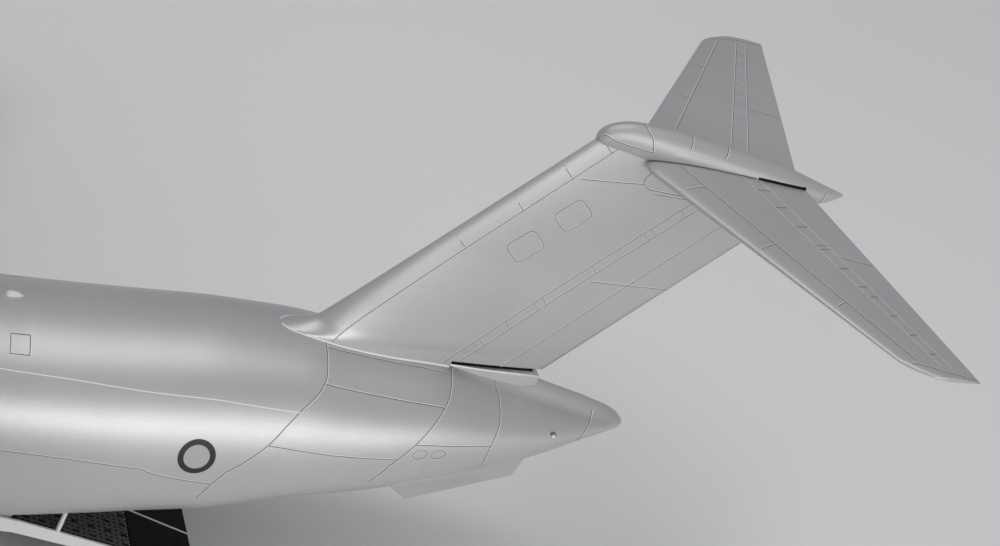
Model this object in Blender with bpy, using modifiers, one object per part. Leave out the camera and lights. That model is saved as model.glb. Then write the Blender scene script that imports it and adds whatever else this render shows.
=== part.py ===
"""A 1:144 plastic model of a four-engined, T-tailed military transport plane, on its landing gear with its ramp down.

Sizes below are the full-size aircraft's, in metres: X runs aft from the nose, Y to starboard and Z up from the
ground. place() takes them to the model's own frame, in model metres, with X = 0 in the middle of the length.
"""

import math

import bmesh
import bpy
from mathutils import Matrix, Vector

SCALE = 1 / 144
LENGTH = 53.08
X_MID = LENGTH / 2

# Clearances, in full-size metres: 0.029 is 0.2 mm on the model.
SEAT_GAP = 0.029
SEAM_GAP = 0.015
RUN_GAP = 0.06
WALL = 0.17

# Fuselage stations: x, top, bottom, height of the widest point, half width, roundness of the lower half.
FUSELAGE = (
    (0.00, 3.36, 2.94, 3.15, 0.20, 2.0),
    (0.35, 3.88, 2.35, 3.12, 0.82, 2.0),
    (1.00, 4.42, 1.90, 3.15, 1.42, 2.0),
    (2.00, 5.05, 1.50, 3.30, 2.06, 2.1),
    (3.20, 6.20, 1.22, 3.60, 2.64, 2.3),
    (4.30, 7.00, 1.08, 3.90, 2.99, 2.5),
    (5.80, 7.52, 1.00, 4.20, 3.26, 2.7),
    (8.00, 7.79, 0.95, 4.35, 3.41, 2.9),
    (10.5, 7.83, 0.95, 4.40, 3.43, 3.1),
    (19.0, 7.80, 0.95, 4.40, 3.43, 3.1),
    (27.6, 7.73, 0.95, 4.40, 3.43, 3.2),
    (28.5, 7.76, 0.95, 4.40, 3.43, 3.2),
    (30.75, 7.86, 1.38, 4.40, 3.42, 3.1),
    (32.3, 7.96, 1.72, 4.42, 3.39, 3.05),
    (34.3, 8.07, 2.08, 4.50, 3.33, 2.95),
    (36.5, 8.04, 2.68, 4.75, 3.18, 2.8),
    (38.2, 7.84, 3.00, 4.95, 3.02, 2.7),
    (39.7, 7.69, 3.30, 5.12, 2.84, 2.7),
    (41.0, 7.58, 3.63, 5.25, 2.62, 2.6),
    (43.0, 7.12, 4.13, 5.44, 2.20, 2.5),
    (45.0, 6.66, 4.75, 5.62, 1.62, 2.4),
    (46.6, 6.36, 5.33, 5.82, 1.00, 2.2),
    (47.6, 6.22, 5.66, 5.93, 0.60, 2.1),
    (48.05, 6.10, 5.80, 5.95, 0.34, 2.0),
    (48.24, 6.02, 5.87, 5.95, 0.14, 2.0),
)
# The low spine along the top of the tail cone: x and its height above the round skin.
SPINE = ((41.0, 0.0), (43.0, 0.28), (44.75, 0.47), (46.6, 0.37), (47.6, 0.20), (48.05, 0.07), (48.24, 0.0))
SPINE_HALF_WIDTH = 0.55
RING_POINTS = 32
CAVITY_START = 2.9
CAVITY_END = 42.6
CAVITY_STEPS = 15

# Cargo hold
FLOOR_TOP = 1.63
FLOOR_DEPTH = 0.15
FLOOR_START = 9.3
FLOOR_HALF_WIDTH = 2.75
BULKHEAD_X = 9.0

# Ramp and aft cargo door. The ramp's deck rises at RAMP_CLOSED when shut and falls at RAMP_OPEN when down; its toes,
# beyond TREAD_END, slope more steeply to the ground.
RAMP_HINGE = Vector((28.9, 0, FLOOR_TOP))
RAMP_END_X = 35.15
RAMP_CLOSED = 11.0
RAMP_OPEN = 12.4
RAMP_HALF_WIDTH = 2.92
TREAD_END = 3.88
TOE_LENGTH = 2.22
TOE_SLOPE = 19.0
RAIL_WIDTH = 0.14
DOOR_HINGE = Vector((41.4, 0, 4.02))
DOOR_START_X = 35.45
DOOR_SWING = 35.0

# Wing: leading edge and chord at the root, kink and tip; the wing droops outwards.
WING_ROOT_Y = 2.75
WING_KINK_Y = 10.4
WING_TIP_Y = 25.15
WING_LEAD_X = 14.4
WING_SWEEP = math.tan(math.radians(27.5))
WING_ROOT_TRAIL = 26.0
WING_KINK_TRAIL = 26.2
WING_TIP_CHORD = 3.0
WING_Z = 7.92
WING_DROOP = math.tan(math.radians(2.6))
WINGLET_RISE = 2.6
WINGLET_SPREAD = 0.62

# Engines: spanwise place, nacelle front and axis height
ENGINES = {1: (-14.3, 17.7, 4.35), 2: (-7.6, 13.8, 4.75), 3: (7.6, 13.8, 4.75), 4: (14.3, 17.7, 4.35)}
FAN_BLADES = 12

# Tail
FIN_LEAD = ((36.55, 7.85), (43.75, 16.15))
FIN_TRAIL = ((45.12, 7.85), (52.2, 16.15))
FIN_HALF_THICK = 0.42
RUDDER_FOOT = 7.66
RUDDER_FOOT_AFT = 7.43
TAIL_Z = 15.7
TAIL_SPAN = 9.905
TIP_CORNER_Y = 9.2
TAIL_ROOT_Y = 0.38
TAIL_LEAD = (44.88, 50.95)
TAIL_TRAIL = (50.76, 53.08)

# Landing gear: wheel radii, axle stations and rows
NOSE_X = 5.1
BAY_START = 3.6
BAY_END = 6.1
BAY_ROOF = 2.0
NOSE_RADIUS = 0.508
NOSE_WHEEL_Y = 0.36
MAIN_RADIUS = 0.635
MAIN_X = (23.9, 26.4)
MAIN_ROW_Y = 4.08
MAIN_WHEEL_STEP = 0.80
WHEEL_STEPS = 16
SPONSON_FLOOR = 1.02

COLOURS = {
    "hull_grey": ((0.56, 0.57, 0.58, 1), 0.42, 0.0),
    "dark_interior": ((0.30, 0.31, 0.32, 1), 0.6, 0.0),
    "white": ((0.85, 0.85, 0.84, 1), 0.45, 0.0),
    "deck_grey": ((0.06, 0.06, 0.065, 1), 0.75, 0.0),
    "black": ((0.012, 0.012, 0.013, 1), 0.5, 0.0),
    "tyre": ((0.03, 0.03, 0.032, 1), 0.8, 0.0),
    "bright_metal": ((0.55, 0.55, 0.56, 1), 0.35, 0.8),
    "burnt_metal": ((0.22, 0.20, 0.19, 1), 0.45, 0.7),
    "clear": ((0.08, 0.10, 0.12, 0.5), 0.08, 0.0),
}


def place(x, y, z):
    """A full-size point in the model's own frame."""
    return Vector(((x - X_MID) * SCALE, y * SCALE, z * SCALE))


def clear_scene():
    for obj in list(bpy.data.objects):
        bpy.data.objects.remove(obj, do_unlink=True)


def collection(name, hidden=False):
    made = bpy.data.collections.new(name)
    bpy.context.scene.collection.children.link(made)
    made.hide_render = hidden
    return made


def material(name):
    if name in bpy.data.materials:
        return bpy.data.materials[name]
    colour, roughness, metallic = COLOURS[name]
    made = bpy.data.materials.new(name)
    made.use_nodes = True
    shader = made.node_tree.nodes["Principled BSDF"]
    shader.inputs["Base Color"].default_value = colour
    shader.inputs["Roughness"].default_value = roughness
    shader.inputs["Metallic"].default_value = metallic
    return made


def add(name, mesh, paint=None, smooth=True):
    """A node with that paint, or a cutter if it has none."""
    obj = bpy.data.objects.new(name, mesh)
    if paint:
        AIRCRAFT.objects.link(obj)
        mesh.materials.append(material(paint))
        if smooth:
            mesh.shade_smooth()
            mesh.set_sharp_from_angle(angle=math.radians(35))
    else:
        CUTTERS.objects.link(obj)
        obj.hide_render = True
        obj.display_type = "WIRE"
    return obj


def mesh_from(name, shape):
    bmesh.ops.recalc_face_normals(shape, faces=shape.faces)
    mesh = bpy.data.meshes.new(name)
    shape.to_mesh(mesh)
    shape.free()
    return mesh


def loft(name, rings, paint=None, smooth=True):
    """A closed skin through rings of full-size points, capped at both ends."""
    shape = bmesh.new()
    made = [[shape.verts.new(place(*point)) for point in ring] for ring in rings]
    count = len(rings[0])
    for first, second in zip(made, made[1:]):
        for i in range(count):
            j = (i + 1) % count
            shape.faces.new((first[i], first[j], second[j], second[i]))
    shape.faces.new(made[0])
    shape.faces.new(made[-1])
    return add(name, mesh_from(name, shape), paint, smooth)


def box(name, low, high, paint=None, smooth=False):
    shape = bmesh.new()
    bmesh.ops.create_cube(shape, size=1)
    size = (Vector(high) - Vector(low)) * SCALE
    middle = place(*((Vector(low) + Vector(high)) / 2))
    bmesh.ops.scale(shape, vec=size, verts=shape.verts)
    bmesh.ops.translate(shape, vec=middle, verts=shape.verts)
    return add(name, mesh_from(name, shape), paint, smooth)


def rod(name, start, end, radius, paint=None, segments=12, end_radius=None):
    """A round rod between two full-size points, tapered if it has an end radius."""
    first, last = place(*start), place(*end)
    along = last - first
    shape = bmesh.new()
    bmesh.ops.create_cone(
        shape,
        cap_ends=True,
        segments=segments,
        radius1=radius * SCALE,
        radius2=(radius if end_radius is None else end_radius) * SCALE,
        depth=along.length,
    )
    turn = along.to_track_quat("Z", "Y").to_matrix().to_4x4()
    bmesh.ops.transform(shape, matrix=Matrix.Translation((first + last) / 2) @ turn, verts=shape.verts)
    return add(name, mesh_from(name, shape), paint)


def turned(name, centre, axis, profile, paint=None, steps=24):
    """A turned solid: profile holds (distance along the axis, radius) pairs, closed by the axis or by itself."""
    mesh = bpy.data.meshes.new(name)
    points = [Vector((radius * SCALE, 0, along * SCALE)) for along, radius in reversed(profile)]
    closed = profile[0][1] > 0
    count = len(points)
    edges = [(i, (i + 1) % count) for i in range(count if closed else count - 1)]
    mesh.from_pydata(points, edges, [])
    obj = add(name, mesh, paint, smooth=False)
    obj.location = place(*centre)
    obj.rotation_euler = {"X": (0, math.pi / 2, 0), "Y": (-math.pi / 2, 0, 0), "Z": (0, 0, 0)}[axis]
    screw = obj.modifiers.new("turn", "SCREW")
    screw.steps = screw.render_steps = steps
    screw.use_merge_vertices = True
    screw.merge_threshold = 0.000001
    screw.use_smooth_shade = True
    return obj


def boolean(obj, other, operation):
    step = obj.modifiers.new(operation.lower(), "BOOLEAN")
    step.operation = operation
    step.object = other
    return obj


def cut(obj, *cutters):
    for cutter in cutters:
        boolean(obj, cutter, "DIFFERENCE")
    return obj


def join(obj, *others):
    for other in others:
        boolean(obj, other, "UNION")
    return obj


def keep_inside(obj, other):
    return boolean(obj, other, "INTERSECT")


def between(table, x):
    """The row of a station table at x, with straight lines between stations."""
    for low, high in zip(table, table[1:]):
        if x <= high[0]:
            share = max(0.0, (x - low[0]) / (high[0] - low[0]))
            return tuple(a + (b - a) * share for a, b in zip(low, high))
    return table[-1]


def hull_ring(x, grow=0.0, points=RING_POINTS):
    """The fuselage's outline at x: half an ellipse above its widest point and a fuller curve below."""
    _, top, bottom, middle, half, fullness = between(FUSELAGE, x)
    half += grow
    ring = []
    for i in range(points):
        angle = 2 * math.pi * (i + 0.5) / points
        side, rise = math.cos(angle), math.sin(angle)
        power = 2.0 if rise > 0 else fullness
        depth = (top - middle if rise > 0 else middle - bottom) + grow
        y = half * math.copysign(abs(side) ** (2 / power), side)
        z = middle + depth * math.copysign(abs(rise) ** (2 / power), rise)
        if rise > 0:
            z += spine(x) * max(0.0, 1 - (y / SPINE_HALF_WIDTH) ** 2) ** 2
        ring.append((x, y, z))
    return ring


def spine(x):
    return between(SPINE, x)[1] if x > SPINE[0][0] else 0.0


def belly_height(x, y):
    """The height of the fuselage's underside at that place."""
    _, _, bottom, middle, half, fullness = between(FUSELAGE, x)
    return middle - (middle - bottom) * (1 - (abs(y) / half) ** fullness) ** (1 / fullness)


def hull(name, grow=0.0):
    return loft(name, [hull_ring(station[0], grow) for station in FUSELAGE])


def inner_hull(name, clearance=0.0):
    """The space inside the fuselage's skin, less a clearance all round."""
    stations = [CAVITY_START + (CAVITY_END - CAVITY_START) * i / CAVITY_STEPS for i in range(CAVITY_STEPS + 1)]
    return loft(name, [hull_ring(x, -WALL - clearance, 24) for x in stations])


def make_fuselage():
    """Two half shells that meet on the centreline, round a hollow hold, with the belly open for ramp and door."""
    cavity = inner_hull("hold_cutter")
    belly = loft("belly_cutter", belly_rings(RUN_GAP))
    band = window_band("window_cutter", SEAT_GAP)
    nose_well = box("nose_well_cutter", (BAY_START, -0.72, 0), (BAY_END, 0.72, BAY_ROOF))
    far = 60
    for side, name in ((-1, "fuselage_half_port"), (1, "fuselage_half_starboard")):
        shell = loft(name, [hull_ring(station[0]) for station in FUSELAGE], "hull_grey")
        edge = sorted((-side * far, side * SEAM_GAP))
        other_half = box(name + "_cutter", (-far, edge[0], -far), (far, edge[1], far))
        cut(shell, cavity, belly, band, nose_well, other_half)
    return cavity, belly


def belly_rings(clearance):
    """The opening in the belly: wide along the ramp, narrowing aft along the cargo door."""
    rings = []
    for x, half in (
        (RAMP_HINGE.x - 0.12, RAMP_HALF_WIDTH),
        (RAMP_END_X, RAMP_HALF_WIDTH - 0.1),
        (RAMP_END_X + 0.12, door_half_width(DOOR_START_X)),
        (DOOR_HINGE.x + 0.12, door_half_width(DOOR_HINGE.x)),
    ):
        half += clearance
        top = between(FUSELAGE, x)[2] + 1.15
        rings.append([(x, -half, -1), (x, half, -1), (x, half, top), (x, -half, top)])
    return rings


def door_half_width(x):
    share = (x - DOOR_START_X) / (DOOR_HINGE.x - DOOR_START_X)
    return 2.22 - 0.85 * share


def window_band(name, grow, paint=None):
    """The slanted block that holds the cockpit's windows."""
    sill, head, aft = 5.28, 6.42, 5.2
    rings = []
    for y in (-4, 4):
        rings.append(
            [
                (1.6, y, sill - grow),
                (aft + grow, y, sill + 0.16 - grow),
                (aft - 0.25 + grow, y, head + grow),
                (1.6, y, head + grow),
            ]
        )
    return loft(name, rings, paint)


def make_glazing(cavity):
    glass = loft("cockpit_glazing", [hull_ring(station[0]) for station in FUSELAGE], "clear")
    cut(glass, cavity)
    keep_inside(glass, window_band("glazing_cutter", 0))


def make_cockpit(room):
    """Floor, instrument panel and two seats, joined as one tub."""
    floor_z = 4.55
    floor = box("cockpit_tub", (3.3, -2.2, floor_z), (8.7, 2.2, floor_z + 0.14), "dark_interior")
    pieces = [box("panel_shape", (3.3, -1.9, floor_z + 0.1), (3.75, 1.9, floor_z + 0.75))]
    for y in (-0.85, 0.85):
        pieces.append(box("seat_base_shape", (4.9, y - 0.3, floor_z + 0.1), (5.5, y + 0.3, floor_z + 0.55)))
        pieces.append(box("seat_back_shape", (5.4, y - 0.28, floor_z + 0.1), (5.58, y + 0.28, floor_z + 1.3)))
    join(floor, *pieces)
    keep_inside(floor, room)


def make_hold(room):
    """The cargo floor and the bulkhead that closes the hold in front."""
    floor = box(
        "cargo_floor",
        (FLOOR_START, -FLOOR_HALF_WIDTH, FLOOR_TOP - FLOOR_DEPTH),
        (RAMP_HINGE.x - 0.15, FLOOR_HALF_WIDTH, FLOOR_TOP),
        "deck_grey",
    )
    keep_inside(floor, room)
    bulkhead = box("hold_bulkhead", (BULKHEAD_X - 0.08, -4, 0), (BULKHEAD_X + 0.08, 4, 9), "white")
    keep_inside(bulkhead, room)


def ramp_ring(along, half, deep):
    """The ramp's section in its own frame: a flat deck over a rounded underside."""
    ring = []
    for i in range(9):
        across = -1 + 2 * i / 8
        ring.append((along, half * across, -deep * (1 - 0.55 * across**4)))
    return ring + [(along, half, 0.0), (along, -half, 0.0)]


def turned_down(ring):
    """From the ramp's own frame, with X along the deck from the hinge, to the ramp lowered."""
    tilt = Matrix.Rotation(math.radians(RAMP_OPEN), 3, "Y")
    return [tuple(RAMP_HINGE + tilt @ Vector(point)) for point in ring]


def toe_ring(along, half, deep):
    """A section of the toes, which fold down from the deck's end."""
    fold = Matrix.Rotation(math.radians(TOE_SLOPE - RAMP_OPEN), 3, "Y")
    return turned_down([Vector((TREAD_END, 0, 0)) + fold @ Vector(point) for point in ramp_ring(along, half, deep)])


def make_ramp():
    """The ramp, turned down about its hinge; its foot is the black toe section."""
    start = 0.12
    deck_rings = [(start, 0.59), (1.2, 0.51), (TREAD_END - SEAT_GAP, 0.31)]
    deck_rings = [turned_down(ramp_ring(along, RAMP_HALF_WIDTH, deep)) for along, deep in deck_rings]
    deck = loft("ramp_deck", deck_rings, "deck_grey", smooth=False)
    toes = [toe_ring(along, RAMP_HALF_WIDTH - 0.08, deep) for along, deep in ((0.06, 0.28), (TOE_LENGTH, 0.045))]
    loft("ramp_toes", toes, "black", smooth=False)
    join(deck, *[ramp_rail(side, start) for side in (-1, 1)])
    for side, name in ((-1, "ramp_strut_port"), (1, "ramp_strut_starboard")):
        y = side * (RAMP_HALF_WIDTH - 0.09)
        foot = RAMP_HINGE + Vector((1.35, 0, -1.35 * math.tan(math.radians(RAMP_OPEN)) + 0.03))
        rod(name, (foot.x, y, foot.z + SEAT_GAP), (foot.x + 0.2, y, foot.z + 1.5), 0.065, "white", 10)


def ramp_rail(side, start):
    """The white edge along one side of the ramp's deck."""
    outer, inner = RAMP_HALF_WIDTH, RAMP_HALF_WIDTH - RAIL_WIDTH
    rings = []
    for along, deep in ((start, 0.34), (TREAD_END - SEAT_GAP, 0.24)):
        ring = [(along, side * inner, -0.12), (along, side * outer, -deep)]
        ring += [(along, side * outer, 0.03), (along, side * inner, 0.03)]
        rings.append(turned_down(ring))
    return loft("ramp_rail_shape", rings)


def make_cargo_door():
    """The aft door's curved panel, built shut and then swung up inside about its rear edge."""
    tilt = Matrix.Rotation(math.radians(DOOR_SWING), 3, "Y")
    rings = []
    for x in (DOOR_START_X, 37.6, 39.5, DOOR_HINGE.x - 0.15):
        half = door_half_width(x)
        outer, inner = [], []
        for i in range(9):
            y = half * (-1 + 2 * i / 8)
            outer.append((x, y, belly_height(x, y) + 0.02))
            inner.append((x, y, belly_height(x, y) + 0.20))
        ring = outer + inner[::-1]
        rings.append([tuple(DOOR_HINGE + tilt @ (Vector(point) - DOOR_HINGE)) for point in ring])
    loft("cargo_door", rings, "hull_grey")


def wing_line(y):
    """Leading edge, trailing edge and height of the wing at y."""
    lead = WING_LEAD_X + WING_SWEEP * y
    tip_trail = WING_LEAD_X + WING_SWEEP * WING_TIP_Y + WING_TIP_CHORD
    if y < WING_KINK_Y:
        trail = WING_ROOT_TRAIL + (WING_KINK_TRAIL - WING_ROOT_TRAIL) * y / WING_KINK_Y
    else:
        share = (y - WING_KINK_Y) / (WING_TIP_Y - WING_KINK_Y)
        trail = WING_KINK_TRAIL + (tip_trail - WING_KINK_TRAIL) * share
    return lead, trail, WING_Z - WING_DROOP * y


def foil(points=9):
    """Upper surface from nose to tail, then the lower one back: (share of chord, share of half thickness)."""
    upper = []
    for i in range(points):
        c = (1 - math.cos(math.pi * i / (points - 1))) / 2
        thick = 5 * (0.2969 * math.sqrt(c) - 0.126 * c - 0.3516 * c**2 + 0.2843 * c**3 - 0.1036 * c**4)
        upper.append((c, 2 * thick))
    upper[-1] = (1.0, 0.05)
    return upper + [(c, -t) for c, t in reversed(upper[1:])]


def wing_ring(y, side, grow=0.0):
    lead, trail, height = wing_line(y)
    chord = trail - lead
    half = chord * (0.070 - 0.020 * y / WING_TIP_Y) + grow
    return [
        (lead - grow + (chord + 2 * grow) * c, side * y, height - 0.015 * chord * math.cos(math.pi * c) + half * t)
        for c, t in foil()
    ]


def make_wings():
    """Each wing is one solid, with its four flap-track fairings joined on below."""
    for side, name in ((-1, "port"), (1, "starboard")):
        stations = (WING_ROOT_Y + SEAT_GAP, 6.5, WING_KINK_Y, 18.0, WING_TIP_Y)
        wing = loft("wing_" + name, [wing_ring(y, side) for y in stations], "hull_grey")
        for y in (5.2, 9.4, 13.6, 17.6):
            join(wing, flap_fairing(y, side))
        make_winglet(side, name)


def flap_fairing(y, side):
    """One canoe-shaped fairing under the trailing edge."""
    _, trail, height = wing_line(y)
    length = 4.4 - 0.09 * y
    profile = ((0.0, 0.04), (0.18, 0.72), (0.45, 1.0), (0.75, 0.72), (1.0, 0.08))
    rings = []
    for share, size in profile:
        x = trail - 0.88 * length + share * length
        rings.append(
            [
                (x, side * y + 0.26 * size * math.cos(a), height - 0.32 + 0.40 * size * math.sin(a))
                for a in (math.pi * (i + 0.5) / 4 for i in range(8))
            ]
        )
    return loft("flap_fairing_shape", rings)


def make_winglet(side, name):
    """The canted winglet, seated against the flat tip of the wing."""
    lead, trail, height = wing_line(WING_TIP_Y)
    chord = trail - lead - 0.5
    half = 0.045 * chord
    rings = []
    for share, rise in ((0.0, -0.25), (0.0, 0.06), (0.2, 0.35), (1.0, WINGLET_RISE)):
        start = lead + 0.35 + 2.05 * share
        size = chord * (1 - 0.52 * share)
        y = WING_TIP_Y + SEAT_GAP + half + WINGLET_SPREAD * share
        rings.append([(start + size * c, side * (y + 0.045 * size * t), height - 0.1 + rise) for c, t in foil(7)])
    loft("winglet_" + name, rings, "hull_grey")


def make_wing_fairing(hull_cutter):
    """The long blister on the roof that carries the wing box."""
    table = (
        (12.8, 7.92, 0.7),
        (14.4, 8.35, 1.9),
        (16.4, 8.78, WING_ROOT_Y),
        (20.2, 9.0, WING_ROOT_Y),
        (24.2, 8.72, WING_ROOT_Y),
        (26.1, 8.25, WING_ROOT_Y - 0.15),
        (26.9, 7.98, 1.5),
        (27.3, 7.84, 0.5),
    )
    rings = []
    for x, top, half in table:
        ring = []
        for i in range(13):
            across = -1 + 2 * i / 12
            ring.append((x, half * across, 6.6 + (top - 6.6) * (1 - 0.45 * abs(across) ** 4)))
        ring += [(x, half, 6.2), (x, -half, 6.2)]
        rings.append(ring)
    fairing = loft("wing_fairing", rings, "hull_grey")
    cut(fairing, hull_cutter)


def make_engine(number, hull_cutter):
    """Cowl, core with its exhaust cone and guide vanes, fan on its shaft, and the pylon above."""
    y, front, height = ENGINES[number]
    centre = (front, y, height)
    cowl = (
        (0.0, 1.16), (0.12, 1.27), (0.7, 1.38), (1.9, 1.42), (3.2, 1.30), (4.15, 1.12),
        (4.15, 1.07), (3.0, 1.12), (1.6, 1.09), (0.2, 1.06),
    )
    turned(f"engine_{number}_cowl", centre, "X", cowl, "hull_grey", 22)
    core_profile = (
        (1.75, 0.0), (1.75, 0.42), (2.4, 0.66), (3.6, 0.70), (4.9, 0.52), (5.3, 0.42), (5.3, 0.30), (6.1, 0.0),
    )
    core = turned(f"engine_{number}_core", centre, "X", core_profile, "burnt_metal", 16)
    vanes = []
    for i in range(6):
        angle = math.pi / 6 + 2 * math.pi * i / 6
        vanes.append(radial_plate("vane_shape", centre, angle, (2.3, 3.1), (0.5, 1.09 - SEAT_GAP * 0.6), 0.06))
    join(core, *vanes)
    cut(core, rod("fan_bore_cutter", (front + 1.6, y, height), (front + 2.35, y, height), 0.15, segments=16))
    make_fan(number, centre)
    make_pylon(number, centre)


def radial_plate(name, centre, angle, along, radii, thick, twist=0.0):
    """A flat blade standing out from an engine's axis."""
    shape = bmesh.new()
    bmesh.ops.create_cube(shape, size=1)
    size = Vector((along[1] - along[0], thick, radii[1] - radii[0])) * SCALE
    bmesh.ops.scale(shape, vec=size, verts=shape.verts)
    bmesh.ops.rotate(shape, matrix=Matrix.Rotation(twist, 3, "Z"), verts=shape.verts)
    middle = Vector(((along[0] + along[1]) / 2, 0, (radii[0] + radii[1]) / 2)) * SCALE
    bmesh.ops.translate(shape, vec=middle, verts=shape.verts)
    bmesh.ops.rotate(shape, matrix=Matrix.Rotation(angle, 3, "X"), verts=shape.verts)
    bmesh.ops.translate(shape, vec=place(*centre), verts=shape.verts)
    return add(name, mesh_from(name, shape))


def make_fan(number, centre):
    """Spinner, blades and shaft, turning about the engine's axis."""
    front = centre[0]
    hub = turned(
        f"engine_{number}_fan",
        centre,
        "X",
        ((0.72, 0.0), (0.82, 0.14), (1.1, 0.30), (1.55, 0.34), (1.62, 0.34), (1.62, 0.09), (2.2, 0.09), (2.2, 0.0)),
        "bright_metal",
        16,
    )
    for i in range(FAN_BLADES):
        angle = 2 * math.pi * i / FAN_BLADES
        blade = radial_plate("blade_shape", centre, angle, (1.2, 1.5), (0.28, 1.085 - RUN_GAP), 0.035, 0.6)
        join(hub, blade)


def make_pylon(number, centre):
    """The strut between the cowl and the wing, shaped like a thin foil."""
    front, y, height = centre
    side = math.copysign(1, y)
    lead, trail, wing_z = wing_line(abs(y))
    low, high = height + 1.0, wing_z + 0.1
    rings = []
    for z, start, end, half in (
        (low, front + 1.6, front + 4.6, 0.16),
        (height + 1.5, front + 1.5, lead + 2.6, 0.17),
        (high, lead - 0.25, lead + 3.4, 0.17),
    ):
        rings.append([(start + (end - start) * c, y + half * t, z) for c, t in foil(6)])
    pylon = loft(f"pylon_{number}", rings, "hull_grey")
    grown = [(0.0, 1.16 + SEAT_GAP), (0.12, 1.27 + SEAT_GAP), (0.7, 1.38 + SEAT_GAP), (1.9, 1.42 + SEAT_GAP),
             (3.2, 1.30 + SEAT_GAP), (4.15, 1.12 + SEAT_GAP), (4.9, 0.62), (5.4, 0.5)]
    profile = [(grown[0][0], 0.0)] + grown + [(grown[-1][0], 0.0)]
    nacelle = turned("nacelle_cutter", centre, "X", profile)
    stations = (abs(y) - 1.5, abs(y) + 1.5)
    wing = loft("wing_cutter", [wing_ring(s, side, SEAT_GAP) for s in stations])
    cut(pylon, nacelle, wing)


def fin_chord(z):
    """Leading and trailing edge of the fin at height z."""
    share = (z - FIN_LEAD[0][1]) / (FIN_LEAD[1][1] - FIN_LEAD[0][1])
    return tuple(edge[0][0] + (edge[1][0] - edge[0][0]) * share for edge in (FIN_LEAD, FIN_TRAIL))


# The fin root's section: share of half width and of height, from one foot over the top to the other.
ROOT_SECTION = ((-1.0, 0.0), (-0.92, 0.45), (-0.65, 0.85), (0.0, 1.0), (0.65, 0.85), (0.92, 0.45), (1.0, 0.0))


def make_fin(hull_cutter, bullet_cutter):
    """The fin with its rudder, and the low fairing below the rudder's sloping foot."""
    rings = []
    for front_z, rear_z in ((6.9, 6.9), (RUDDER_FOOT, RUDDER_FOOT), (11.5, 11.5), (15.1, 14.9), (16.05, 15.25)):
        half = FIN_HALF_THICK * (1 - 0.25 * (front_z - 7) / 9)
        ring = []
        for c, t in foil(10):
            z = front_z + (rear_z - front_z) * c
            lead, trail = fin_chord(z)
            ring.append((lead + (trail - lead) * c, half * t, z))
        rings.append(ring)
    fin = loft("fin", rings, "hull_grey")
    join(fin, fin_root())
    foot = [(41.6, 6.0), (46.0, 6.0), (46.0, RUDDER_FOOT_AFT), (41.6, RUDDER_FOOT)]
    under = loft("rudder_foot_cutter", [[(x, y, z) for x, z in foot] for y in (-1, 1)])
    cut(fin, hull_cutter, under, bullet_cutter)
    base = []
    table = ((41.6 + SEAT_GAP, 0.42, 6.3, 7.57), (43.2, 0.32, 6.6, 7.49), (44.75, 0.12, 7.09, 7.42))
    for x, half, low, high in table:
        base.append([(x, -half, low), (x, half, low), (x, half * 0.9, high), (x, -half * 0.9, high)])
    cut(loft("rudder_base_fairing", base, "hull_grey", smooth=False), hull_cutter)


def fin_root():
    """The small fairing that leads the fin's front edge into the fuselage's top."""
    table = (
        (35.8, 0.06, 8.09),
        (36.2, 0.20, 8.16),
        (36.65, 0.32, 8.28),
        (37.0, 0.36, 8.50),
        (37.35, 0.36, 8.82),
        (37.9, 0.30, 8.90),
    )
    rings = []
    for x, half, top in table:
        rings.append([(x, half * c, 7.4 + (top - 7.4) * h) for c, h in ROOT_SECTION])
    return loft("fin_root_shape", rings)


def bullet_rings(grow=0.0):
    """The fairing at the top of the fin: x, bottom, top, half width."""
    table = (
        (43.72, 15.95, 16.30, 0.16),
        (43.85, 15.80, 16.50, 0.28),
        (44.2, 15.60, 16.70, 0.36),
        (44.8, 15.50, 16.82, 0.42),
        (46.4, 15.40, 16.76, 0.52),
        (48.2, 15.30, 16.50, 0.55),
        (50.1, 15.20, 16.17, 0.50),
        (51.5, 15.12, 15.80, 0.34),
        (52.1, 15.28, 15.64, 0.18),
        (52.45, 15.45, 15.58, 0.06),
    )
    rings = []
    for x, low, high, half in table:
        middle, tall = (low + high) / 2, (high - low) / 2
        ring = []
        for i in range(16):
            angle = 2 * math.pi * (i + 0.5) / 16
            ring.append((x, (half + grow) * math.cos(angle), middle + (tall + grow) * math.sin(angle)))
        rings.append(ring)
    return rings


def tail_ring(y, side, grow=0.0):
    """The tailplane at one station, with the corner of its tip rounded back."""
    share = y / TAIL_SPAN
    corner = 0.62 * max(0.0, (y - TIP_CORNER_Y) / (TAIL_SPAN - TIP_CORNER_Y)) ** 2
    lead = TAIL_LEAD[0] + (TAIL_LEAD[1] - TAIL_LEAD[0]) * share + corner - grow
    trail = TAIL_TRAIL[0] + (TAIL_TRAIL[1] - TAIL_TRAIL[0]) * share + grow
    half = 0.048 * (trail - lead) + grow
    return [(lead + (trail - lead) * c, side * y, TAIL_Z - 0.016 * y + half * t) for c, t in foil()]


def make_tailplane(bullet_cutter):
    for side, name in ((-1, "tailplane_port"), (1, "tailplane_starboard")):
        plane = loft(name, [tail_ring(y, side) for y in (TAIL_ROOT_Y, 5.0, TIP_CORNER_Y, 9.62, TAIL_SPAN)], "hull_grey")
        cut(plane, bullet_cutter)


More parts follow.
